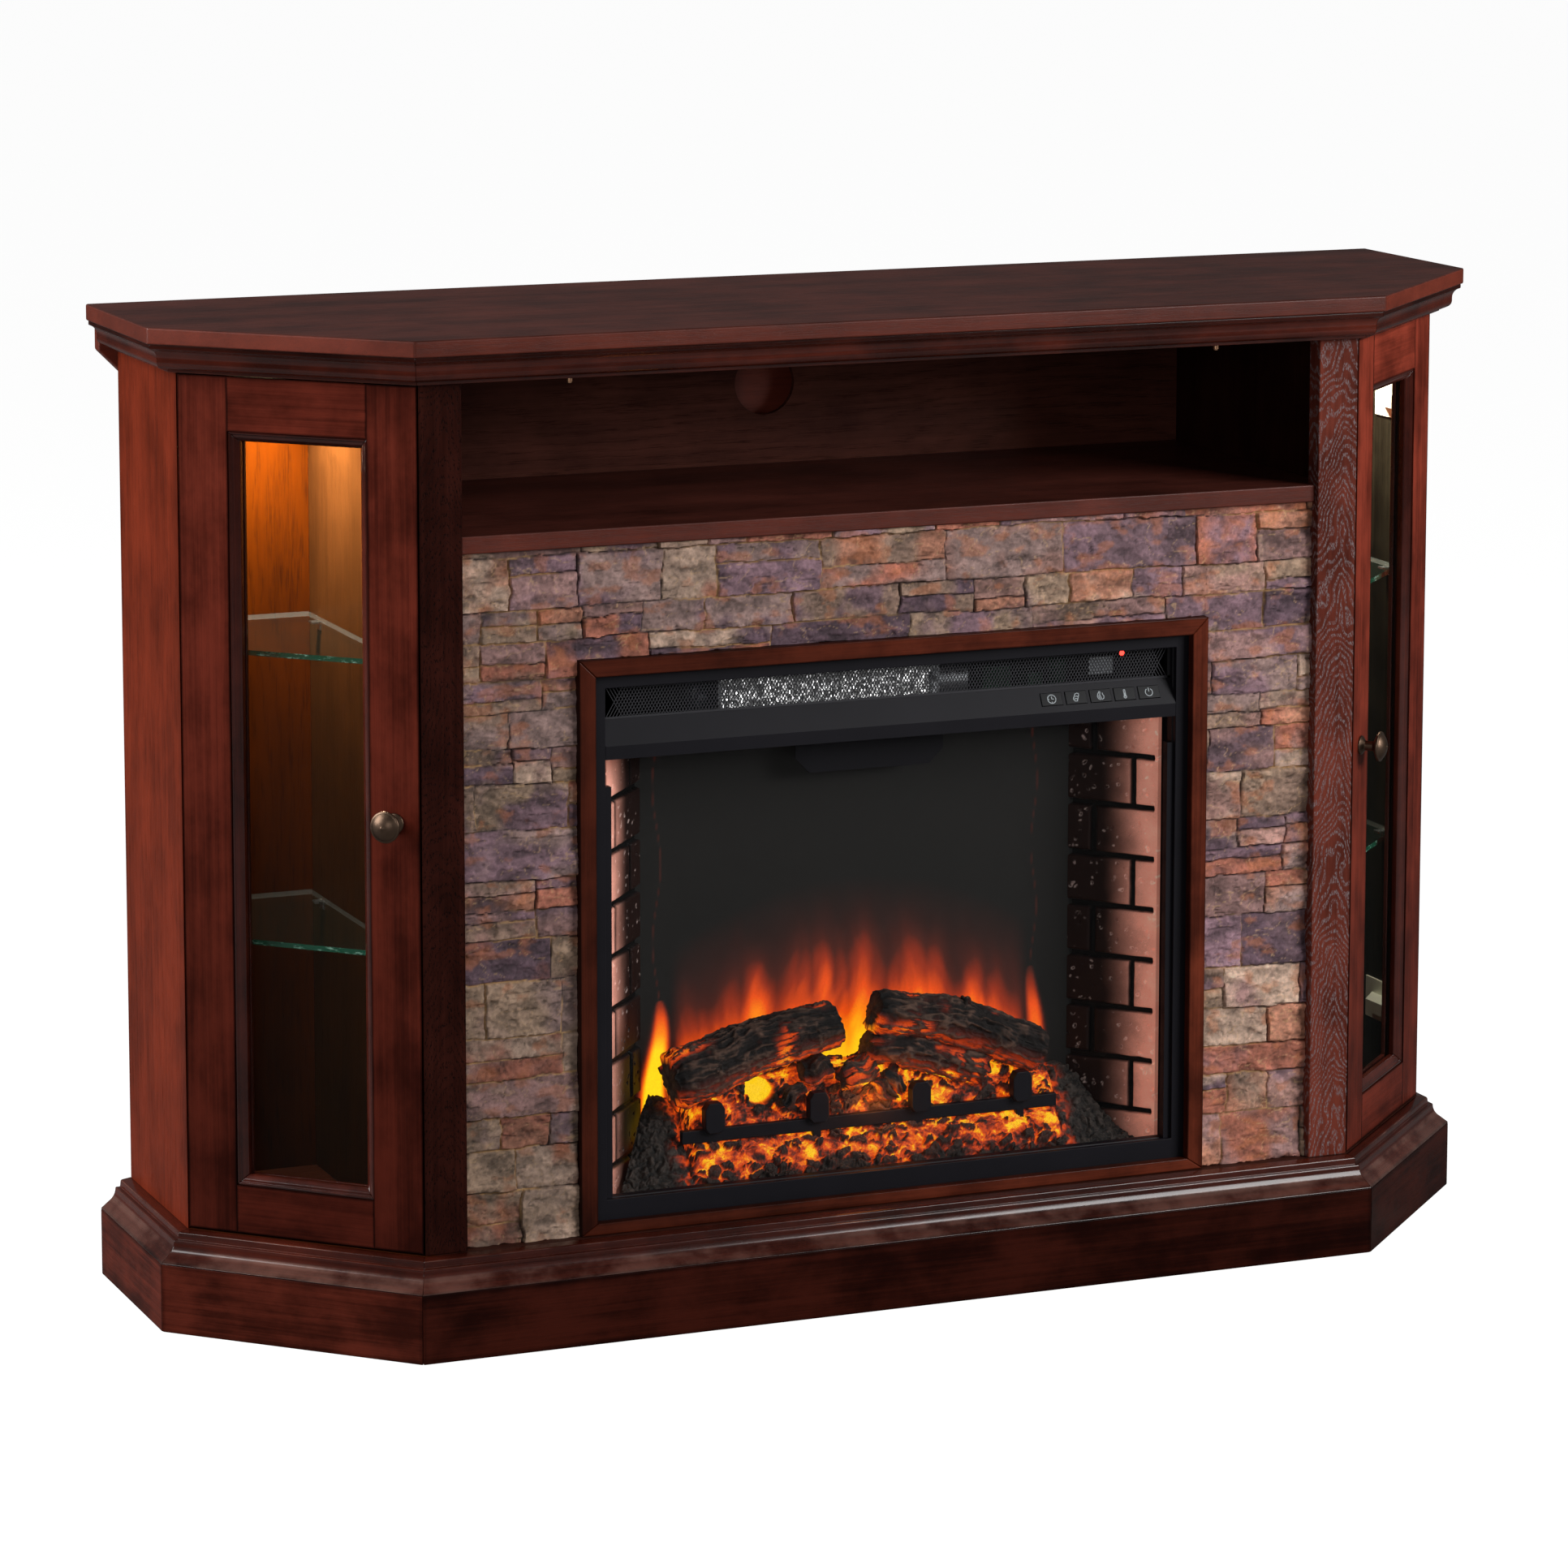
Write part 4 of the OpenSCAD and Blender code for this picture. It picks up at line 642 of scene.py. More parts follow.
def stone_at(x, z):
    """Relief in mm and colour of the split stone at the points (x, z)."""
    p = np.column_stack([x, z, np.zeros_like(x)])
    wx = x + 2.0 * lattice_noise(p / 24, 3) + 1.4 * lattice_noise(p / 8, 4)
    wz = z + 1.8 * lattice_noise(p / (80, 40, 1), 5) + 1.0 * lattice_noise(p / 13, 6) + 0.6 * lattice_noise(p / 4, 7)
    number, gap = np.zeros(len(x), int), np.full(len(x), 99.0)
    u, v = np.zeros(len(x)), np.zeros(len(x))
    for z0, h, edges, cut, first in ledger:
        inside = (wz >= z0) & (wz < z0 + h)
        if not inside.any():
            continue
        k = np.clip(np.searchsorted(edges, wx[inside]) - 1, 0, len(cut) - 1)
        left, right, split = edges[k], edges[k + 1], z0 + h * cut[k]
        upper = wz[inside] > split
        low, high = np.where(upper, split, z0), np.where(upper, z0 + h, np.minimum(split, z0 + h))
        number[inside] = first + 2 * k + upper
        gap[inside] = np.minimum.reduce([wx[inside] - left, right - wx[inside],
                                         wz[inside] - low, high - wz[inside]])
        u[inside], v[inside] = wx[inside] - (left + right) / 2, wz[inside] - (low + high) / 2
    near, nxt, facet = cells(p / (21, 9.5, 1) + 0.45 * drift(p, 9, 3, 51), 7)
    level = (facet % 97) / 48 - 1
    slope = ((facet // 97) % 23 / 11 - 1) * (near - 0.4)
    crag = rough(p * (1, 1.9, 1), 17, 6, 9, 0.6)
    split_line = ramp(-abs(rough((p + (0.7 * z[:, None])) * (0.6, 2.4, 1), 30, 3, 63)), -0.05, 0.0)
    edge = ramp(gap, 0.0, 1.3)
    height = 0.3 + edge * (0.9 + stone_out[number] + stone_tilt[number, 0] * u + stone_tilt[number, 1] * v
                           + 0.7 * level * ramp(nxt - near, 0.0, 0.12) + 1.2 * slope + 1.6 * crag - 1.0 * split_line)
    share = ramp(rough(p, 36, 4, 21), -0.4, 0.5)[:, None]
    tint = blend(stone_first[number], stone_second[number], share)
    tint = (0.94 * tint + 0.06 * np.array((0.31, 0.19, 0.15))) * (0.76 + 0.14 * stone_out[number])[:, None]
    # Painted light and shade on the crags and facets, darker in the split lines
    light = 0.90 + 0.36 * crag + 0.20 * level + 0.17 * rough(p, 3.0, 3, 71) - 0.4 * split_line
    tint = tint * np.clip(light, 0.36, 2)[:, None]
    rust = ramp(rough(p * (1, 1.6, 1), 17, 4, 83), 0.3, 0.8)[:, None] * 0.4
    tint = blend(tint * (1.07, 1.0, 1.0), linear(186, 112, 70), rust)
    vein = ramp(-abs(rough(p * (1, 2.2, 1), 26, 3, 31)), -0.04, -0.003)[:, None] * 0.45
    tint = blend(tint, linear(206, 168, 122), vein)
    # Painted light: the stone is lighter towards the right, where the light falls. At the lower left it is made darker
    low_left = ramp(-x, 280, 320) * ramp(-z, -380, -150)
    tint = tint * ((1.20 + 0.22 * x / 415) * (1 - 0.3 * low_left))[:, None]
    seam = (1 - ramp(gap, 0.15, 0.9))[:, None]
    pale = ramp(rough(p, 60, 3, 41), -0.15, 0.25)[:, None]
    mortar = blend(linear(42, 30, 30), linear(190, 150, 100), pale)
    return np.clip(height, 0.2, 6.4), np.clip(blend(tint, mortar, seam), 0.01, 1)


def stone_board(name, x0, x1, z0, z1, step=1.15):
    x, z = np.meshgrid(np.linspace(x0, x1, int((x1 - x0) / step) + 1), np.linspace(z0, z1, int((z1 - z0) / step) + 1))
    height, tint = stone_at(x.ravel(), z.ravel())
    return relief(name, x, z, height, 12, upright(STONE_FACE), stone_paint, back_shade=0.5, slot="stone", crease=60,
                  tint=tint)


first_board = stone_board("stone_left", -414.8, -307.2, STONE_FOOT, STONE_TOP)
stone_board("stone_right", 307.2, 414.8, STONE_FOOT, STONE_TOP)
stone_board("stone_above", -307.1, 307.1, 608.3, STONE_TOP)
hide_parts("stone_panels")


# ---- curio cabinets ----

smoothed("glass_shelves", shelf_pane, 0.4)
smoothed("left_door_glass", door_pane, 0.2, "left_door")
smoothed("right_door_glass", door_pane, 0.2, "right_door")
for node, material, body, slot in (
        ("shelf_pins", zinc, "cabinet", "zinc"), ("puck_lights", zinc, "cabinet", "lamp_ring"),
        ("puck_lenses", puck_lens, "cabinet", "lamp_lens"), ("door_catches", soft_white, "cabinet", "plastic_light"),
        ("hinge_arms", hinge_plate, "cabinet", "zinc"), ("left_hinge_cups", zinc, "left_door", "zinc"),
        ("right_hinge_cups", zinc, "right_door", "zinc"), ("leaf_hinges", zinc, "cabinet", "zinc"),
        ("leaf_hinge_flaps", zinc, "leaf", "zinc"), ("stay_wall_links", zinc, "wall_links", "zinc"),
        ("stay_leaf_links", zinc, "leaf_links", "zinc"), ("bay_screws", copper_screw, "cabinet", "brass_screw")):
    smoothed(node, material, 0.2, body, inset=0.12 if node == "leaf_hinge_flaps" else 0.0)


# ---- firebox ----

for node, material, slot, radius in (
        ("visor", black_steel, "black_steel", 0.35),
        ("insert_casing", black_steel, "black_steel", 0.4), ("heater_box", grey_steel, "grey_steel", 0.5),
        ("small_motors", grey_steel, "grey_steel", 0.6), ("circuit_boards", board_green, "board", 0.15),
        ("cord_gland", key_black, "key_plastic", 0.4), ("front_glass", fire_pane, "clear_glass", 0.3),
        ("grate", black_steel, "black_steel", 0.9)):
    smoothed(node, material, radius)
smoothed("blower_wheel", grey_steel, 0.2, "blower")
smoothed("flame_rotor", foil, 0.15, "rotor")


BLOCK_SIDES = (0, 1, 3, 2), (4, 6, 7, 5), (0, 4, 5, 1), (2, 3, 7, 6), (0, 2, 6, 4), (1, 5, 7, 3)


def bars(name, boxes, material, **more):
    """Small bars, each given by its eight corners."""
    points, faces = [], []
    for k, corners in enumerate(boxes):
        points += list(corners)
        faces += [tuple(8 * k + i for i in f) for f in BLOCK_SIDES]
    return piece(name, np.array(points), faces, material, **more)


def block(x0, x1, y0, y1, z0, z1, lean=0.0):
    """The corners of a bar. Its top may lean to the right."""
    return [(x + lean * (z == z1), y, z) for x, y, z in product((x0, x1), (y0, y1), (z0, z1))]


def insert_frame():
    """The front flange with its return into the firebox, as one mitred ring, and the channels that hold the glass."""
    half, low, high = 279.0, 118.0, 580.0
    # Each point of the section: whether it is at the outer rim, how far out from there, and y
    section = ((0, 0.7, -338), (0, 0.2, -337.8), (0, 0, -337.3), (0, 0, -333.4), (0, 1.1, -332.8), (0, 1.1, -330.6),
               (0, 0, -330), (0, 0, -321), (0, 7.9, -321), (0, 7.9, -335), (1, 0, -335), (1, 0, -337.3),
               (1, -0.2, -337.8), (1, -0.7, -338))
    points = []
    for sx, sz, side, rim in ((-1, -1, low, 26), (1, -1, low, 26), (1, 1, high, 20), (-1, 1, high, 20)):
        points += [(sx * (half + out * 20 + d), y, side + sz * (out * rim + d)) for out, d, y in section]
    n = len(section)
    faces = [(c * n + k, (c + 1) % 4 * n + k, (c + 1) % 4 * n + (k + 1) % n, c * n + (k + 1) % n)
             for c in range(4) for k in range(n)]
    flat_faced(piece("insert_frame_ring", np.array(points), faces, black_steel, slot="black_steel",
                     replaces="insert_frame", crease=25))
    channels = [block(*x, -334.6, -326.1, 118.2, 491) for x in ((-278.8, -272.5), (272.5, 278.8))]
    bars("glass_channels", channels, black_steel, slot="black_steel")


insert_frame()


# ---- brick sides ----

def brick_side(name, s):
    """The moulded firebrick of the left (s = -1) or right side: courses with broken joints and pitted faces."""
    run, courses = 90.8, 9
    course_h = 429.9 / courses
    u, z = np.meshgrid(np.linspace(0.1, run, 118), np.linspace(INSIDE_FOOT, INSIDE_TOP, 540))
    p = np.column_stack([u.ravel(), z.ravel(), np.full(u.size, 40.0 * s)])
    z_in = p[:, 1] - FLOOR
    course = np.minimum((z_in / course_h).astype(int), courses - 1)
    z_in = z_in - course * course_h
    cut = np.where(course % 2 == 0, run * 0.72, run * 0.28)
    joint = np.minimum.reduce([z_in, course_h - z_in, abs(p[:, 0] - cut)]) + 0.4 * rough(p, 9, 2, 3)
    gap = joint + 8 * (1 - ramp(p[:, 0], 1.5, 4.5))
    t = np.clip((gap - 2.3) / 2.8, 0, 1)
    near, _, number = cells(p / (7.2, 7.2, 40) + 0.25 * drift(p, 5, 2, 71), 61)
    pits = (1 - ramp(near, 0.12, 0.26)) * (number % 3 > 0)
    # Painted glints on the rims of the pits
    shine = (0.8 * np.exp(-((near - 0.24) / 0.05) ** 2) * (number % 3 > 0) * ramp(gap, 4, 6)
             * ramp(rough(p, 6, 2, 79), -0.3, 0.3))
    rise = -4.2 + 4.0 * np.sqrt(1 - (1 - t) ** 2) + 0.12 * rough(p, 16, 3, 8) - 1.6 * pits * ramp(gap, 4, 6)
    # Painted shade: the bricks darken from their lit front edge towards the back
    painted_rear_shade = ramp(p[:, 0] + 4 * rough(p, 30, 2, 5), 6, 56)[:, None] ** 0.7
    tint = blend(np.array((1.0, 0.48, 0.37)), linear(34, 20, 17), painted_rear_shade)
    tint = tint * (1 + 0.12 * rough(p, 20, 3, 13))[:, None]
    tint = tint + shine[:, None] * (0.42, 0.33, 0.30)
    tint = blend(tint, linear(12, 8, 7), (1 - ramp(gap, 2.2, 3.6))[:, None])
    # Painted shade on the lower part of the left bricks
    if s < 0:
        tint = tint * (1 - (1 - ramp(p[:, 1], 200, 285)) * np.interp(p[:, 0], (20, 50), (0.4, 0.93)))[:, None]
    tint = np.clip(tint, 0.004, 1)
    back, inward = np.array((-0.6413, 0.7673)), np.array((-0.7673, -0.6413))

    def at(u, z, rise):
        xy = np.array((271.0, -319.0)) + np.outer(u, back) + np.outer(rise, inward)
        return np.column_stack([s * xy[:, 0], xy[:, 1], z])
    # The bricks glow a little: painted light from the fire
    return relief(name, u, z, np.minimum(rise, -0.1), 7.5, at, brick_paint, flip=s > 0, slot="firebrick", crease=70,
                  tint=tint, glow=0.24 * tint ** 1.4)


first_side = brick_side("brick_side_left", -1)
brick_side("brick_side_right", 1)
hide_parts("brick_panels")


# ---- flame screen ----

# Middle, tip and half width of each tongue of flame on the screen
TONGUES = ((-198, 276, 15), (-168, 290, 15), (-147, 262, 8), (-129, 306, 15), (-103, 326, 15), (-84, 300, 9),
           (-62, 334, 17), (-36, 350, 13), (-12, 338, 12), (8, 356, 17), (36, 330, 10), (56, 346, 17), (84, 330, 14),
           (109, 302, 14), (127, 276, 7), (142, 292, 12), (176, 278, 13))
# The two flames that stand alone at the ends: middle, sway, its length, half width, and heat by height
END_FLAMES = ((-197, 4, 23, 14, (150, 226, 256, 278), (1.3, 1.0, 0.6, 0.1)),
              (178, 3, 19, 11, (190, 236, 274), (0.75, 0.6, 0.1)))


def flame_heat(x, z):
    """How hot the flame picture looks at the points (x, z) of the screen."""
    side = abs(x + 6) / 190
    foot, top = 222 - 26 * side ** 2, 358 - 58 * side ** 2
    wall = np.interp((z - foot) / (top - foot), (-0.45, 0, 0.28, 0.55, 0.8, 1.1), (1.0, 0.93, 0.69, 0.43, 0.17, 0.0))
    lick = np.zeros(len(x))
    for i, (middle, tip, wide) in enumerate(TONGUES):
        t = np.clip((z - 170) / (tip - 170), 0, 1.3)
        sway = 9 * t * np.sin(2.2 * t + 1.9 * i) + 4 * t * np.sin(5.7 * t + 2.7 * i)
        offset = (x - middle - sway) / (wide * (1.45 - 0.85 * np.clip(t, 0, 1)))
        power = (1.0, 0.62, 0.85, 0.5, 0.95, 0.7, 0.8)[i % 7]
        lick = np.maximum(lick, power * np.exp(-abs(offset) ** 2.2) * (1 - ramp(z, tip - 64, tip + 14)))
    between = ramp(z, foot - 30, foot + 66)
    wall = wall * (1 - 0.74 * between * (1 - lick)) * (1 - ramp(side, 0.86, 0.95))
    p = np.column_stack([x + 8 * np.sin(z / 26 + x / 60), z * 0.22, np.zeros_like(x)])
    wisp = 1 + 0.22 * rough(p, 9, 3, 77) * ramp(z, 190, 270)
    heat = wall * wisp
    t = np.clip((z - 150) / 122, 0, 1)
    for middle, sway, length, wide, heights, heats in END_FLAMES:
        offset = (x - middle + sway * np.sin(z / length)) / (wide * (1 - t) ** 0.4 + 0.5)
        heat = np.maximum(heat, np.exp(-offset ** 4) * np.interp(z, heights, heats))
    return np.clip(heat, 0, 1) * ramp(z, 100, 150)


screen_x, screen_z = np.meshgrid(np.linspace(-217.9, 217.9, 250), np.linspace(INSIDE_FOOT, INSIDE_TOP, 250))
screen_tint = np.full((screen_x.size, 3), 0.012) * np.array((1.08, 1.02, 0.92))
relief("flame_screen_panel", screen_x, screen_z, np.zeros(screen_x.size), 3.0, upright(SCREEN), screen_paint,
       slot="smoke_screen", replaces="flame_screen", tint=screen_tint,
       glow=fire_colour(flame_heat(screen_x.ravel(), screen_z.ravel())) * 1.1)


# ---- logs, coals and ash ----

def ash_height(y):
    return 108 + 30 * (y - ASH_FRONT) / ASH_DEPTH


def moulded_log(start, end, r0, r1, seed, steps, round_steps, glow, bow):
    """A split log with deep bark, broken ends and fire in the cracks of its lower side."""
    start, end = np.array(start, float), np.array(end, float)
    axis = end - start
    length = np.linalg.norm(axis)
    axis = axis / length
    side = np.cross(axis, (0, 1, 0))
    side = side / np.linalg.norm(side)
    front = np.cross(side, axis)
    t, a = np.meshgrid(np.linspace(0, 1, steps), np.linspace(0, 2 * math.pi, round_steps, endpoint=False),
                       indexing="ij")
    t, a = t.ravel(), a.ravel()
    ring = np.column_stack([t * length, np.cos(a) * r0, np.sin(a) * r0])
    wavy = ring + np.column_stack([0 * t, rough(ring, 26, 3, seed + 11), rough(ring, 26, 3, seed + 12)]) * 3.5
    bark = 1 - abs(lattice_noise(wavy / (26, 5.0, 5.0), seed)) * 1.8
    fine = 1 - abs(lattice_noise(wavy / (9, 2.1, 2.1), seed + 1)) * 1.6
    broad = rough(ring, 34, 3, seed + 2)
    radius = (r0 + (r1 - r0) * t + 2.1 * broad + 2.5 * (bark - 0.6) + 1.1 * (fine - 0.6)
              + 0.6 * rough(ring, 3.0, 2, seed + 3))
    close = np.minimum(t, 1 - t) * length
    radius = radius * (0.86 + 0.14 * ramp(close + 2.5 * rough(ring, 8, 2, seed + 4), 0, 7))
    along = t * length + 2.6 * rough(ring[:, [1, 2, 0]], 8, 2, seed + 5) * (1 - ramp(close, 0, 9))
    bend = bow * np.sin(t * math.pi) + 1.5 * np.sin(t * 7 + seed)
    points = (start + np.outer(along, axis) + np.outer(radius * np.cos(a) + bend, side)
              + np.outer(radius * np.sin(a), front))
    i = np.arange(steps * round_steps).reshape(steps, round_steps)
    j = np.roll(i, -1, axis=1)
    faces = [tuple(f) for f in np.stack([i[1:], j[1:], j[:-1], i[:-1]], -1).reshape(-1, 4)]
    tint = blend(linear(22, 16, 14), linear(96, 72, 60), ramp(bark * 0.6 + fine * 0.4, 0.45, 1.0)[:, None])
    char = np.maximum(ramp(-close, -14, -2), ramp(rough(ring, 30, 3, seed + 6), 0.3, 0.8) * 0.7)[:, None]
    tint = tint * (1 - 0.72 * char)
    normal_down = np.clip(-(np.outer(np.cos(a), side) + np.outer(np.sin(a), front))[:, 2], -1, 1)
    crack = ramp(0.62 - (bark * 0.55 + fine * 0.45), -0.25, 0.35)
    patch = ramp(rough(ring, 36, 3, seed + 7), 0.0, 0.8)
    heat = glow * (ramp(normal_down, -0.1, 0.95) * (0.10 + 0.90 * crack) * 0.66 + ramp(crack, 0.45, 1) * patch * 0.74)
    count, rings, tints = len(points), [points], [tint]
    for last, out in ((i[0], -1), (i[-1], 1)):
        rim = points[last]
        centre = rim.mean(0)
        for k, share in enumerate((0.72, 0.44, 0.18)):
            inner = centre + (rim - centre) * share
            rings.append(inner + np.outer(out * (1.5 + 1.8 * rough(inner, 5, 3, seed + 9)) * 0.8, axis))
            tints.append(np.tile(linear(96, 74, 58) * (0.55 + 0.3 * (k % 2)), (len(rim), 1)))
            new = np.arange(count, count + len(rim))
            quads = zip(last, new, np.roll(new, -1), np.roll(last, -1))
            faces += [quad[::-out] for quad in quads]
            last = new
            count += len(rim)
        faces.append(tuple(last[::out]))
    glow_rows = fire_colour(heat)
    return np.vstack(rings), faces, np.vstack(tints), np.vstack([glow_rows, np.zeros((count - len(points), 3))])


def joined(name, parts, material, **more):
    points, faces, tints, glows, count = [], [], [], [], 0
    for p, f, t, g in parts:
        points.append(p)
        faces += [tuple(int(k) + count for k in face) for face in f]
        tints.append(t)
        glows.append(g)
        count += len(p)
    return piece(name, np.vstack(points), faces, material, tint=np.clip(np.vstack(tints), 0.002, 1),
                 glow=np.vstack(glows), **more)


# Each log: both ends of its axis, both radii, seed, steps along and around it, share of glow, bow
LOGS = (
    ((-198, -287, 207), (-36, -285, 244), 27.5, 22, 3, 260, 180, 1.0, 4.0),
    ((1, -287, 255), (167, -285, 203), 20.5, 22, 17, 260, 180, 0.75, 4.0),
    ((84, -292, 242), (90, -294, 258), 6.5, 6.0, 25, 40, 60, 0.3, 0.0),
    ((-4, -283, 222), (112, -285, 189), 19, 17, 31, 170, 110, 0.9, 2.0),
    ((-34, -297, 194), (-2, -288, 203), 13, 14, 51, 70, 80, 0.9, 0.0),
    ((-72, -290, 203), (-46, -291, 208), 13, 12, 53, 60, 80, 0.9, 0.0),
    ((-4, -299, 191), (17, -297, 172), 6.5, 6, 57, 60, 60, 0.8, 0.0),
    ((7, -298, 197), (26, -296, 178), 6.5, 6, 61, 60, 60, 0.9, 0.0),
    ((-92, -297, 178), (-74, -294, 192), 5.5, 5, 67, 60, 60, 0.9, 0.0),
)
joined("split_logs", [moulded_log(*log) for log in LOGS], log_paint, slot="resin_log", replaces="log_set", crease=80)


# The heap's top edge: x and height
HEAP_TOP = ((-198, 172), (-172, 188), (-112, 203), (-30, 208), (30, 208), (90, 204), (140, 194), (172, 182),
            (196, 168))
HEAP_BACK, HEAP_FLOOR = -262.0, 96.0


def coal_heap():
    """The bed of glowing coals: a low bank before the grate bar and a heap that rises behind it to the logs."""
    columns, rows = 680, 210
    x, s = np.meshgrid(np.linspace(-198, 196, columns), np.linspace(0, 1, rows))
    x, s = x.ravel(), s.ravel()
    reach = 1 - ramp(abs(x), 176, 196)
    top = np.interp(x, *np.array(HEAP_TOP).T) + 3 * np.sin(x / 13)
    y = np.interp(s, (0, 0.12, 0.34, 0.46, 0.85, 1.0), (-312.6, -311.5, -302, -291.5, -284, HEAP_BACK))
    z = np.interp(s, (0, 0.12, 0.34, 0.46), (98, 108, 139, 148))
    z = z + (top - 148) * np.interp(s, (0.46, 0.85, 1.0), (0, 0.86, 1))
    z = ash_height(y) - 7 + (z - ash_height(y) + 7) * reach
    p = np.column_stack([x, y * 1.6, z])
    bent = p + 4.5 * drift(p, 13, 4, 1)
    lump, crumb, seam, number, chip = lumps(bent, (15, 9, 9), (5.5, 3.8, 3.8), (5, 9), (0.34, 0.4))
    burnt = ((number % 7 < 4) | (rough(p, 40, 2, 29) > 0.55)) * 1.0
    level = (number % 31) / 30
    rise = 1.5 + burnt * (2.2 + 4.5 * level) * lump + 1.6 * crumb * lump + 1.5 * rough(p, 4.5, 3, 15)
    rise = rise * (0.35 + 0.65 * reach)
    points = np.column_stack([x, y - 0.55 * rise, z + 0.65 * rise])
    points[:, 1] = np.maximum(points[:, 1], -315.5)
    patch = ramp(rough(np.column_stack([x, s * 150, 0 * x]), 34, 3, 23), -0.7, 0.6)
    flicker = rough(bent * (1, 1.2, 1.4), 12, 5, 33, 0.68)
    under_bar = np.exp(-((z - 141) / 13) ** 2)
    hot = (0.30 + 0.24 * patch + 0.34 * flicker + 0.28 * under_bar + 0.09 * ramp(z, 148, 164)
           - 0.22 * (1 - ramp(z, 112, 128)))
    hot = (hot - 0.42) * 1.3 + 0.42
    hot = hot * (1 - 0.9 * burnt * ramp(seam, 0.05, 0.2)) - 0.16 * crumb * (chip % 3 == 0)
    # Two hollows between the coals, where the fire is at its brightest
    large_hollow, small_hollow = np.hypot(x + 112, (z - 187.5) * 1.3), np.hypot(x - 101, (z - 181) * 0.8)
    hole = np.maximum(1 - ramp(large_hollow, 13, 15.5), 1 - ramp(small_hollow, 5, 7.5))
    rim = np.exp(-((large_hollow - 17.5) / 2.6) ** 2)
    hot = np.clip(hot - 0.5 * rim, 0, 0.97) * reach * ramp(z, 100, 118)
    hot = np.maximum(hot, hole)
    points[:, 1] += 7 * hole - 1.5 * rim
    tint = linear(54, 42, 37) * (0.2 + 0.5 * lump + 0.35 * crumb)[:, None]
    # The bank has a wall behind it, a floor and two ends
    i = np.arange(len(points)).reshape(rows, columns)
    low = len(points) + np.arange(columns)
    foot = np.column_stack([points[i[-1], 0], np.full(columns, HEAP_BACK), np.full(columns, HEAP_FLOOR)])
    faces = grid_faces(rows, columns) + [tuple(i[:, 0]) + (low[0],), tuple(i[::-1, -1]) + (low[-1],)]
    for k in range(columns - 1):
        faces += [(i[-1, k], i[-1, k + 1], low[k + 1], low[k]), (low[k], low[k + 1], i[0, k + 1], i[0, k])]
    dark = np.full((columns, 3), 0.003)
    piece("glowing_coals", np.vstack([points, foot]), faces, coal_paint, slot="ember", replaces="ember_bed", crease=80,
          tint=np.vstack([np.clip(tint, 0.003, 1), dark]), glow=np.vstack([fire_colour(hot), dark * 0]))


coal_heap()


def ash_bank(x, y):
    """The mounds at both ends of the fire."""
    left = 46 * ramp(-x, 150, 200) * (1 - 0.8 * ramp(-x, 204, 262)) * ramp(y, -322, -262)
    right = 40 * ramp(x, 150, 192) * (1 - 0.75 * ramp(x, 196, 258)) * ramp(y, -322, -258)
    return left + right


def ash_surface(u, v):
    return np.column_stack([u, v, ash_height(v) + ash_bank(u, v)])


def ash_point(u, v, rise):
    """A lump stands out square to the slope under it. The rim goes straight down."""
    out = np.cross(ash_surface(u + 1, v) - ash_surface(u - 1, v), ash_surface(u, v + 1) - ash_surface(u, v - 1))
    out = out / np.linalg.norm(out, axis=1)[:, None]
    return ash_surface(u, v) + out * np.clip(rise, 0, 9)[:, None] + np.outer(np.minimum(rise, 0), (0, 0, 1))


def ash_bed():
    """Ash and clinker on the sloping floor, with sparks near the fire."""
    across, y = np.meshgrid(np.linspace(-1, 1, 720), np.linspace(-311, -249.4, 190))
    x = across * (ASH_HALF_FRONT + (ASH_HALF_BACK - ASH_HALF_FRONT) * (y - ASH_FRONT) / ASH_DEPTH)
    p = ash_surface(x.ravel(), y.ravel())
    bent = p + 3.5 * drift(p, 9, 3, 4)
    lump, crumb, _, number, _ = lumps(bent, 10, 4, (31, 35), (0.5, 0.5))
    rise = 0.6 + 2.6 * lump * (0.4 + number % 17 / 16) + 0.9 * crumb + 0.9 * rough(p, 3.5, 3, 12)
    tint = linear(60, 52, 47) * (0.22 + 0.5 * lump + 0.3 * crumb + 0.3 * rough(p, 5, 3, 8))[:, None]
    spark = ramp(-abs(p[:, 0]), -208, -184) * (1 - lump) * ramp(rough(p, 9, 3, 9), -0.2, 0.5) * 0.62
    relief("ash_lumps", x, y, np.maximum(rise, 0), 14, ash_point, coal_paint, slot="ash", replaces="ash_bed",
           crease=80, tint=np.clip(tint, 0.003, 1), glow=fire_colour(spark))


ash_bed()


# ---- grille, heater and controls ----

MESH_PITCH, MESH_WIDTH, MESH_LEAN = 3.1, 0.85, 17.0
mesh_bars = []
for layer, lean in enumerate((MESH_LEAN, -MESH_LEAN)):
    for k in range(-100, 101):
        x, y = k * MESH_PITCH - lean / 2, -325.9 + 0.5 * layer
        if -277 < min(x, x + lean) and max(x, x + lean) < 276:
            mesh_bars.append(block(x, x + MESH_WIDTH, y, -325.4 + 0.5 * layer, 550.4, 579.6, lean))
mesh_bars += [block(-278.6, 278.6, -326, -324.6, 550.1, 552), block(-278.6, 278.6, -326, -324.6, 578, 579.9),
              block(-278.6, -276, -326, -324.6, 550.1, 579.9), block(276, 278.6, -326, -324.6, 550.1, 579.9)]
bars("grille_mesh", mesh_bars, mesh_steel, slot="black_steel", replaces="vent_grille")

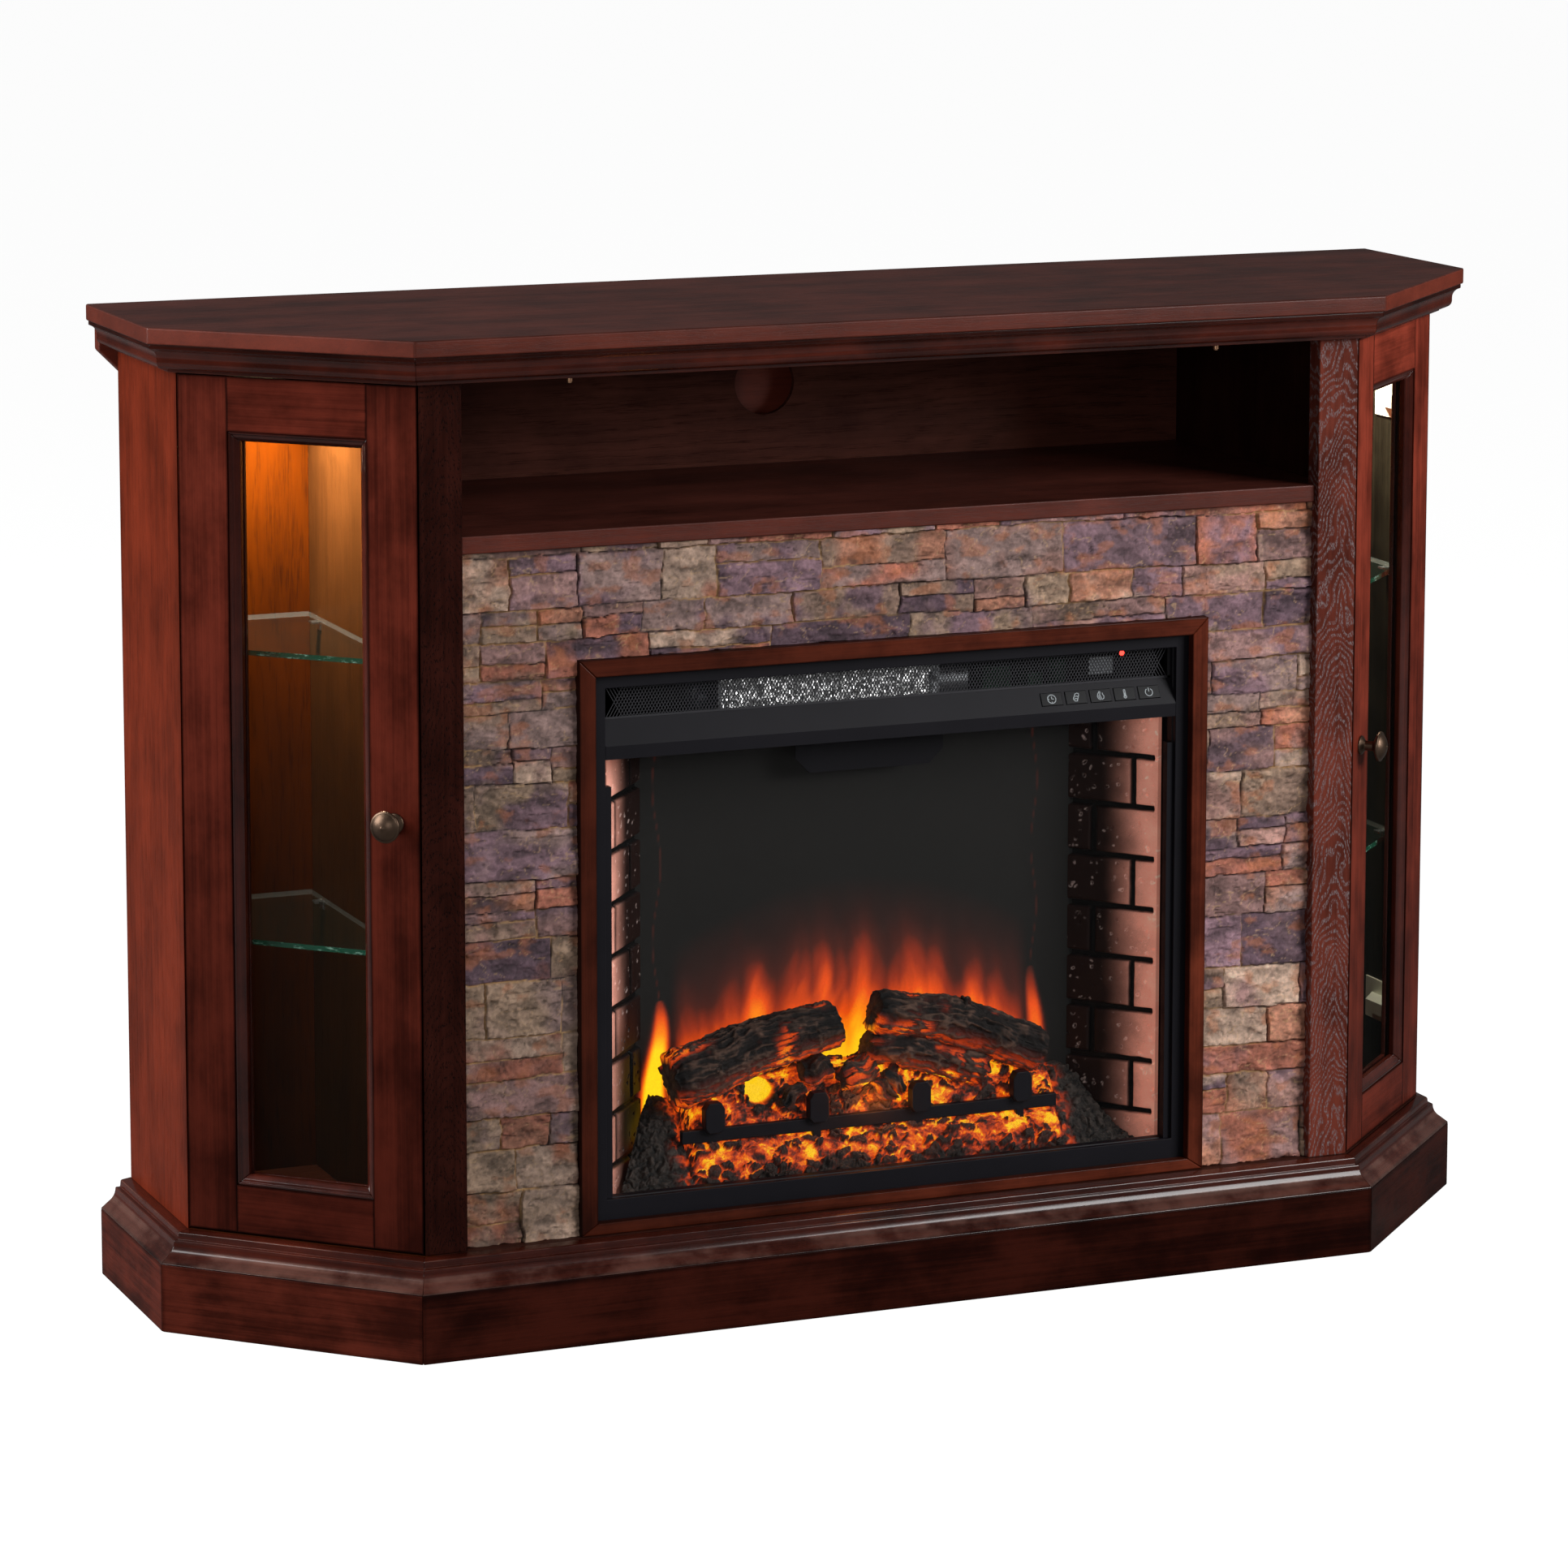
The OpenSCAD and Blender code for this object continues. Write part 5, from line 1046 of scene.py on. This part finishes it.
FOLD = 2.97   # one fold of the heater's ribbon, from left to right
ribbon = []
for row, (front, behind) in enumerate(((-307.5, -302.5), (-301.5, -296.5))):
    for k in range(68):
        x = -155 + k * FOLD
        near, far = (front, behind) if (k + row) % 2 else (behind, front)
        ribbon.append([(x + thick + (FOLD if end else 0), far if end else near, z)
                       for end, thick, z in product((0, 1), (0, 0.35), (539, 568))])
ribbon += [block(-157.5, 48.5, -308, -296, 533, 538.5), block(-157.5, 48.5, -308, -296, 568.5, 574)]
bars("heater_ribbon", ribbon, ribbon_steel, slot="ribbon", replaces="heater_element", crease=20)


def light_dome(sides=24, rings=7):
    points, faces = [], []
    for k in range(rings):
        a = k * math.pi / 12
        points += [(229.5 + 2.5 * math.cos(a) * math.cos(b), -325.6 - 1.4 * math.sin(a),
                    576 + 2.5 * math.cos(a) * math.sin(b)) for b in np.linspace(0, 2 * math.pi, sides, endpoint=False)]
    for k in range(rings - 1):
        start, above = sides * k, sides * (k + 1)
        faces += [(start + m, start + (m + 1) % sides, above + (m + 1) % sides, above + m) for m in range(sides)]
    faces += [tuple(range(sides - 1, -1, -1)), tuple(range(sides * (rings - 1), sides * rings))]
    piece("running_light", points, faces, led_red, slot="red_light", replaces="indicator_lights")


light_dome()
bars("receiver_window", [block(197.0, 221.0, -324.4, -324.0, 557.5, 573.2)], receiver_white, slot="red_light")


def stroke(line, width=0.75):
    """Both edges of a painted line, in the plane of its key."""
    line = np.array(line, float) * 1.15
    run = np.gradient(line, axis=0)
    across = np.column_stack([-run[:, 1], run[:, 0]]) / np.linalg.norm(run, axis=1)[:, None] * width / 2
    return line + across, line - across


def arc(x, y, r, start, end, count=22):
    a = np.radians(np.linspace(start, end, count))
    return np.column_stack([x + r * np.cos(a), y + r * np.sin(a)])


ICONS = {
    "timer": [arc(0, 0, 3.5, 0, 360, 33), [(0, 2.2), (0, 1), (0, 0)], [(0, 0), (1, 0), (1.9, 0)],
              [(0, -2.9), (0, -2.2)], [(-2.9, 0), (-2.2, 0)]],
    "ember": [[(-2.6, -1.6), (-1.4, -3), (0.4, -3.2), (2.4, 1.6), (2.6, 2.9), (1.2, 3.4), (-0.6, 2.8), (-2.4, -0.6),
               (-2.6, -1.6)], [(-1.7, -1.4), (-0.4, -0.9), (0.9, -1.5)], [(-0.9, 0.6), (0.3, 1.1), (1.7, 0.4)]],
    "flame": [[(-0.4, 3.6), (-2.0, 1.6), (-2.9, -0.6), (-2.2, -2.6), (-0.4, -3.4)],
              [(0.2, 3.2), (-0.6, 0.6), (0.2, -1.6), (0.2, -3.3)],
              [(1.9, 2.2), (2.0, 0.6), (2.9, -0.8), (2.4, -2.5), (0.8, -3.4)],
              [(-1.4, 0.3), (-1.6, -1.2), (-0.9, -2.4)]],
    "heat": [arc(0, -2.6, 1.1, 118, 422, 20), [(-0.6, -1.7), (-0.6, 2.8)], [(0.6, -1.7), (0.6, 2.8)],
             arc(0, 2.8, 0.6, 0, 180, 9), [(0, -2.6), (0, 0.8)]],
    "power": [arc(0, -0.2, 3.1, 122, 418, 30), [(0, 3.6), (0, 1.8), (0, 0.3)]],
}
KEY_OUT, KEY_UP = np.array((0, -0.8779, 0.4789)), np.array((0, 0.4789, 0.8779))
FIRST_KEY, KEY_PITCH = 156, 24.5


def icon(name, lines, middle):
    """Generic icon on a key: each line is a thin closed strip."""
    points, faces = [], []
    for line in lines:
        edges = stroke(line)
        start, n = len(points), len(edges[0])
        for lift in (0.78, 0.86):
            for edge in edges:
                points += [middle + (q[0], 0, 0) + KEY_UP * q[1] + KEY_OUT * lift for q in edge]
        a, b, c, d = (start + n * k for k in range(4))
        for k in range(n - 1):
            faces += [(c + k, d + k, d + k + 1, c + k + 1), (a + k, c + k, c + k + 1, a + k + 1),
                      (b + k, b + k + 1, d + k + 1, d + k), (a + k, a + k + 1, b + k + 1, b + k)]
        faces += [(a, b, d, c), (a + n - 1, c + n - 1, d + n - 1, b + n - 1)]
    piece(name + "_icon", np.array(points), faces, icon_grey, body=name + "_button", slot="key_plastic", crease=20)


for place, (name, lines) in enumerate(ICONS.items()):
    smoothed(name + "_key", key_black, 0.35, name + "_button")
    icon(name, lines, np.array((FIRST_KEY + KEY_PITCH * place, -332, 539.0)))


# ---- stage and camera ----

def add_light(kind, name, place, watts, colour, **settings):
    data = bpy.data.lights.new(name, kind)
    data.energy, data.color = watts, colour
    for key, value in settings.items():
        setattr(data, key, value)
    ob = into_scene(name, data)
    ob.location = place
    return ob


def area_light(name, place, target, size, watts):
    ob = add_light("AREA", name, place, watts, (1, 1, 1), shape="RECTANGLE", size=size[0], size_y=size[1])
    ob.rotation_euler = (Vector(target) - Vector(place)).to_track_quat("-Z", "Y").to_euler()


for side, x in (("left", -526.5), ("right", 526.5)):
    add_light("SPOT", side + "_curio_lamp", metres([(x, -114, 866)])[0], 11.5, (1.0, 0.95, 0.80),
              shadow_soft_size=0.02, spot_size=math.radians(128), spot_blend=0.6)
add_light("POINT", "fire_glow", metres([(0, -300, 175)])[0], 0.35, (1.0, 0.30, 0.06), shadow_soft_size=0.03)
area_light("left_light", (-3.3, 0.75, 1.9), (-0.4, 0, 0.5), (2.0, 2.2), 125)
area_light("right_light", (2.5, -2.9, 2.1), (0, 0, 0.5), (2.0, 2.0), 135)
area_light("front_light", (-2.3, -3.4, 1.3), (0, -0.1, 0.4), (1.2, 1.2), 19)

far, under = 30, -0.0004
floor_mesh = bpy.data.meshes.new("floor")
floor_mesh.from_pydata([(-far, -far, under), (far, -far, under), (far, far, under), (-far, far, under)], [],
                       [(0, 1, 2, 3)])
floor = into_scene("floor", floor_mesh)
ground = Finish("pale_floor", Roughness=0.9, Specular_IOR_Level=0.1, Emission_Strength=1.0)
seen_directly = ground.node("ShaderNodeLightPath", {}, {})
patches = ground.noise(ground.place().stretched(0.5, 0.5, 0.5))
ground.set(Base_Color=ground.mix(patches, (0.2, 0.2, 0.2), (0.22, 0.22, 0.22)),
           Emission_Color=ground.shade((1, 1, 1), seen_directly * 0.95))
floor_mesh.materials.append(ground.material)

# The room is white to the eye, but sends only a little light.
world = bpy.data.worlds.new("studio")
bpy.context.scene.world = world
world.use_nodes = True
nodes, links = world.node_tree.nodes, world.node_tree.links
soft = next(n for n in nodes if n.type == "BACKGROUND")
white = nodes.new("ShaderNodeBackground")
for background, strength in ((soft, 0.09), (white, 1.0)):
    background.inputs["Color"].default_value = (1, 1, 1, 1)
    background.inputs["Strength"].default_value = strength
seen = nodes.new("ShaderNodeLightPath")
choose = nodes.new("ShaderNodeMixShader")
links.new(seen.outputs["Is Camera Ray"], choose.inputs[0])
links.new(soft.outputs[0], choose.inputs[1])
links.new(white.outputs[0], choose.inputs[2])
links.new(choose.outputs[0], next(n for n in nodes if n.type == "OUTPUT_WORLD").inputs[0])

# The camera fitted to the photo: lengths in its pixels, angles in degrees, place in metres
PHOTO_WIDTH, FOCAL_LENGTH, OPTICAL_ROW = 1932, 6930.51, 600
YAW, PITCH, ROLL = -22.43, 8.33, 0.05
CAMERA_PLACE = -1.98769, -4.70505, 1.47028
lens = bpy.data.cameras.new("photo_camera")
lens.sensor_fit, lens.sensor_width = "HORIZONTAL", 36.0
lens.lens = FOCAL_LENGTH * 36 / PHOTO_WIDTH
lens.shift_x, lens.shift_y = 0.0, (OPTICAL_ROW - PHOTO_WIDTH / 2) / PHOTO_WIDTH
lens.clip_start, lens.clip_end = 0.1, 100
camera = into_scene("photo_camera", lens)
yaw, pitch, roll = (math.radians(a) for a in (YAW, PITCH, ROLL))
back = Vector((math.sin(yaw) * math.cos(pitch), -math.cos(yaw) * math.cos(pitch), math.sin(pitch)))
level = Vector((math.cos(yaw), math.sin(yaw), 0))
rise = back.cross(level)
right = level * math.cos(roll) + rise * math.sin(roll)
upward = rise * math.cos(roll) - level * math.sin(roll)
camera.matrix_world = Matrix([(right[i], upward[i], back[i], CAMERA_PLACE[i]) for i in range(3)] + [(0, 0, 0, 1)])
bpy.context.scene.camera = camera
bpy.context.scene.view_settings.view_transform = "Standard"
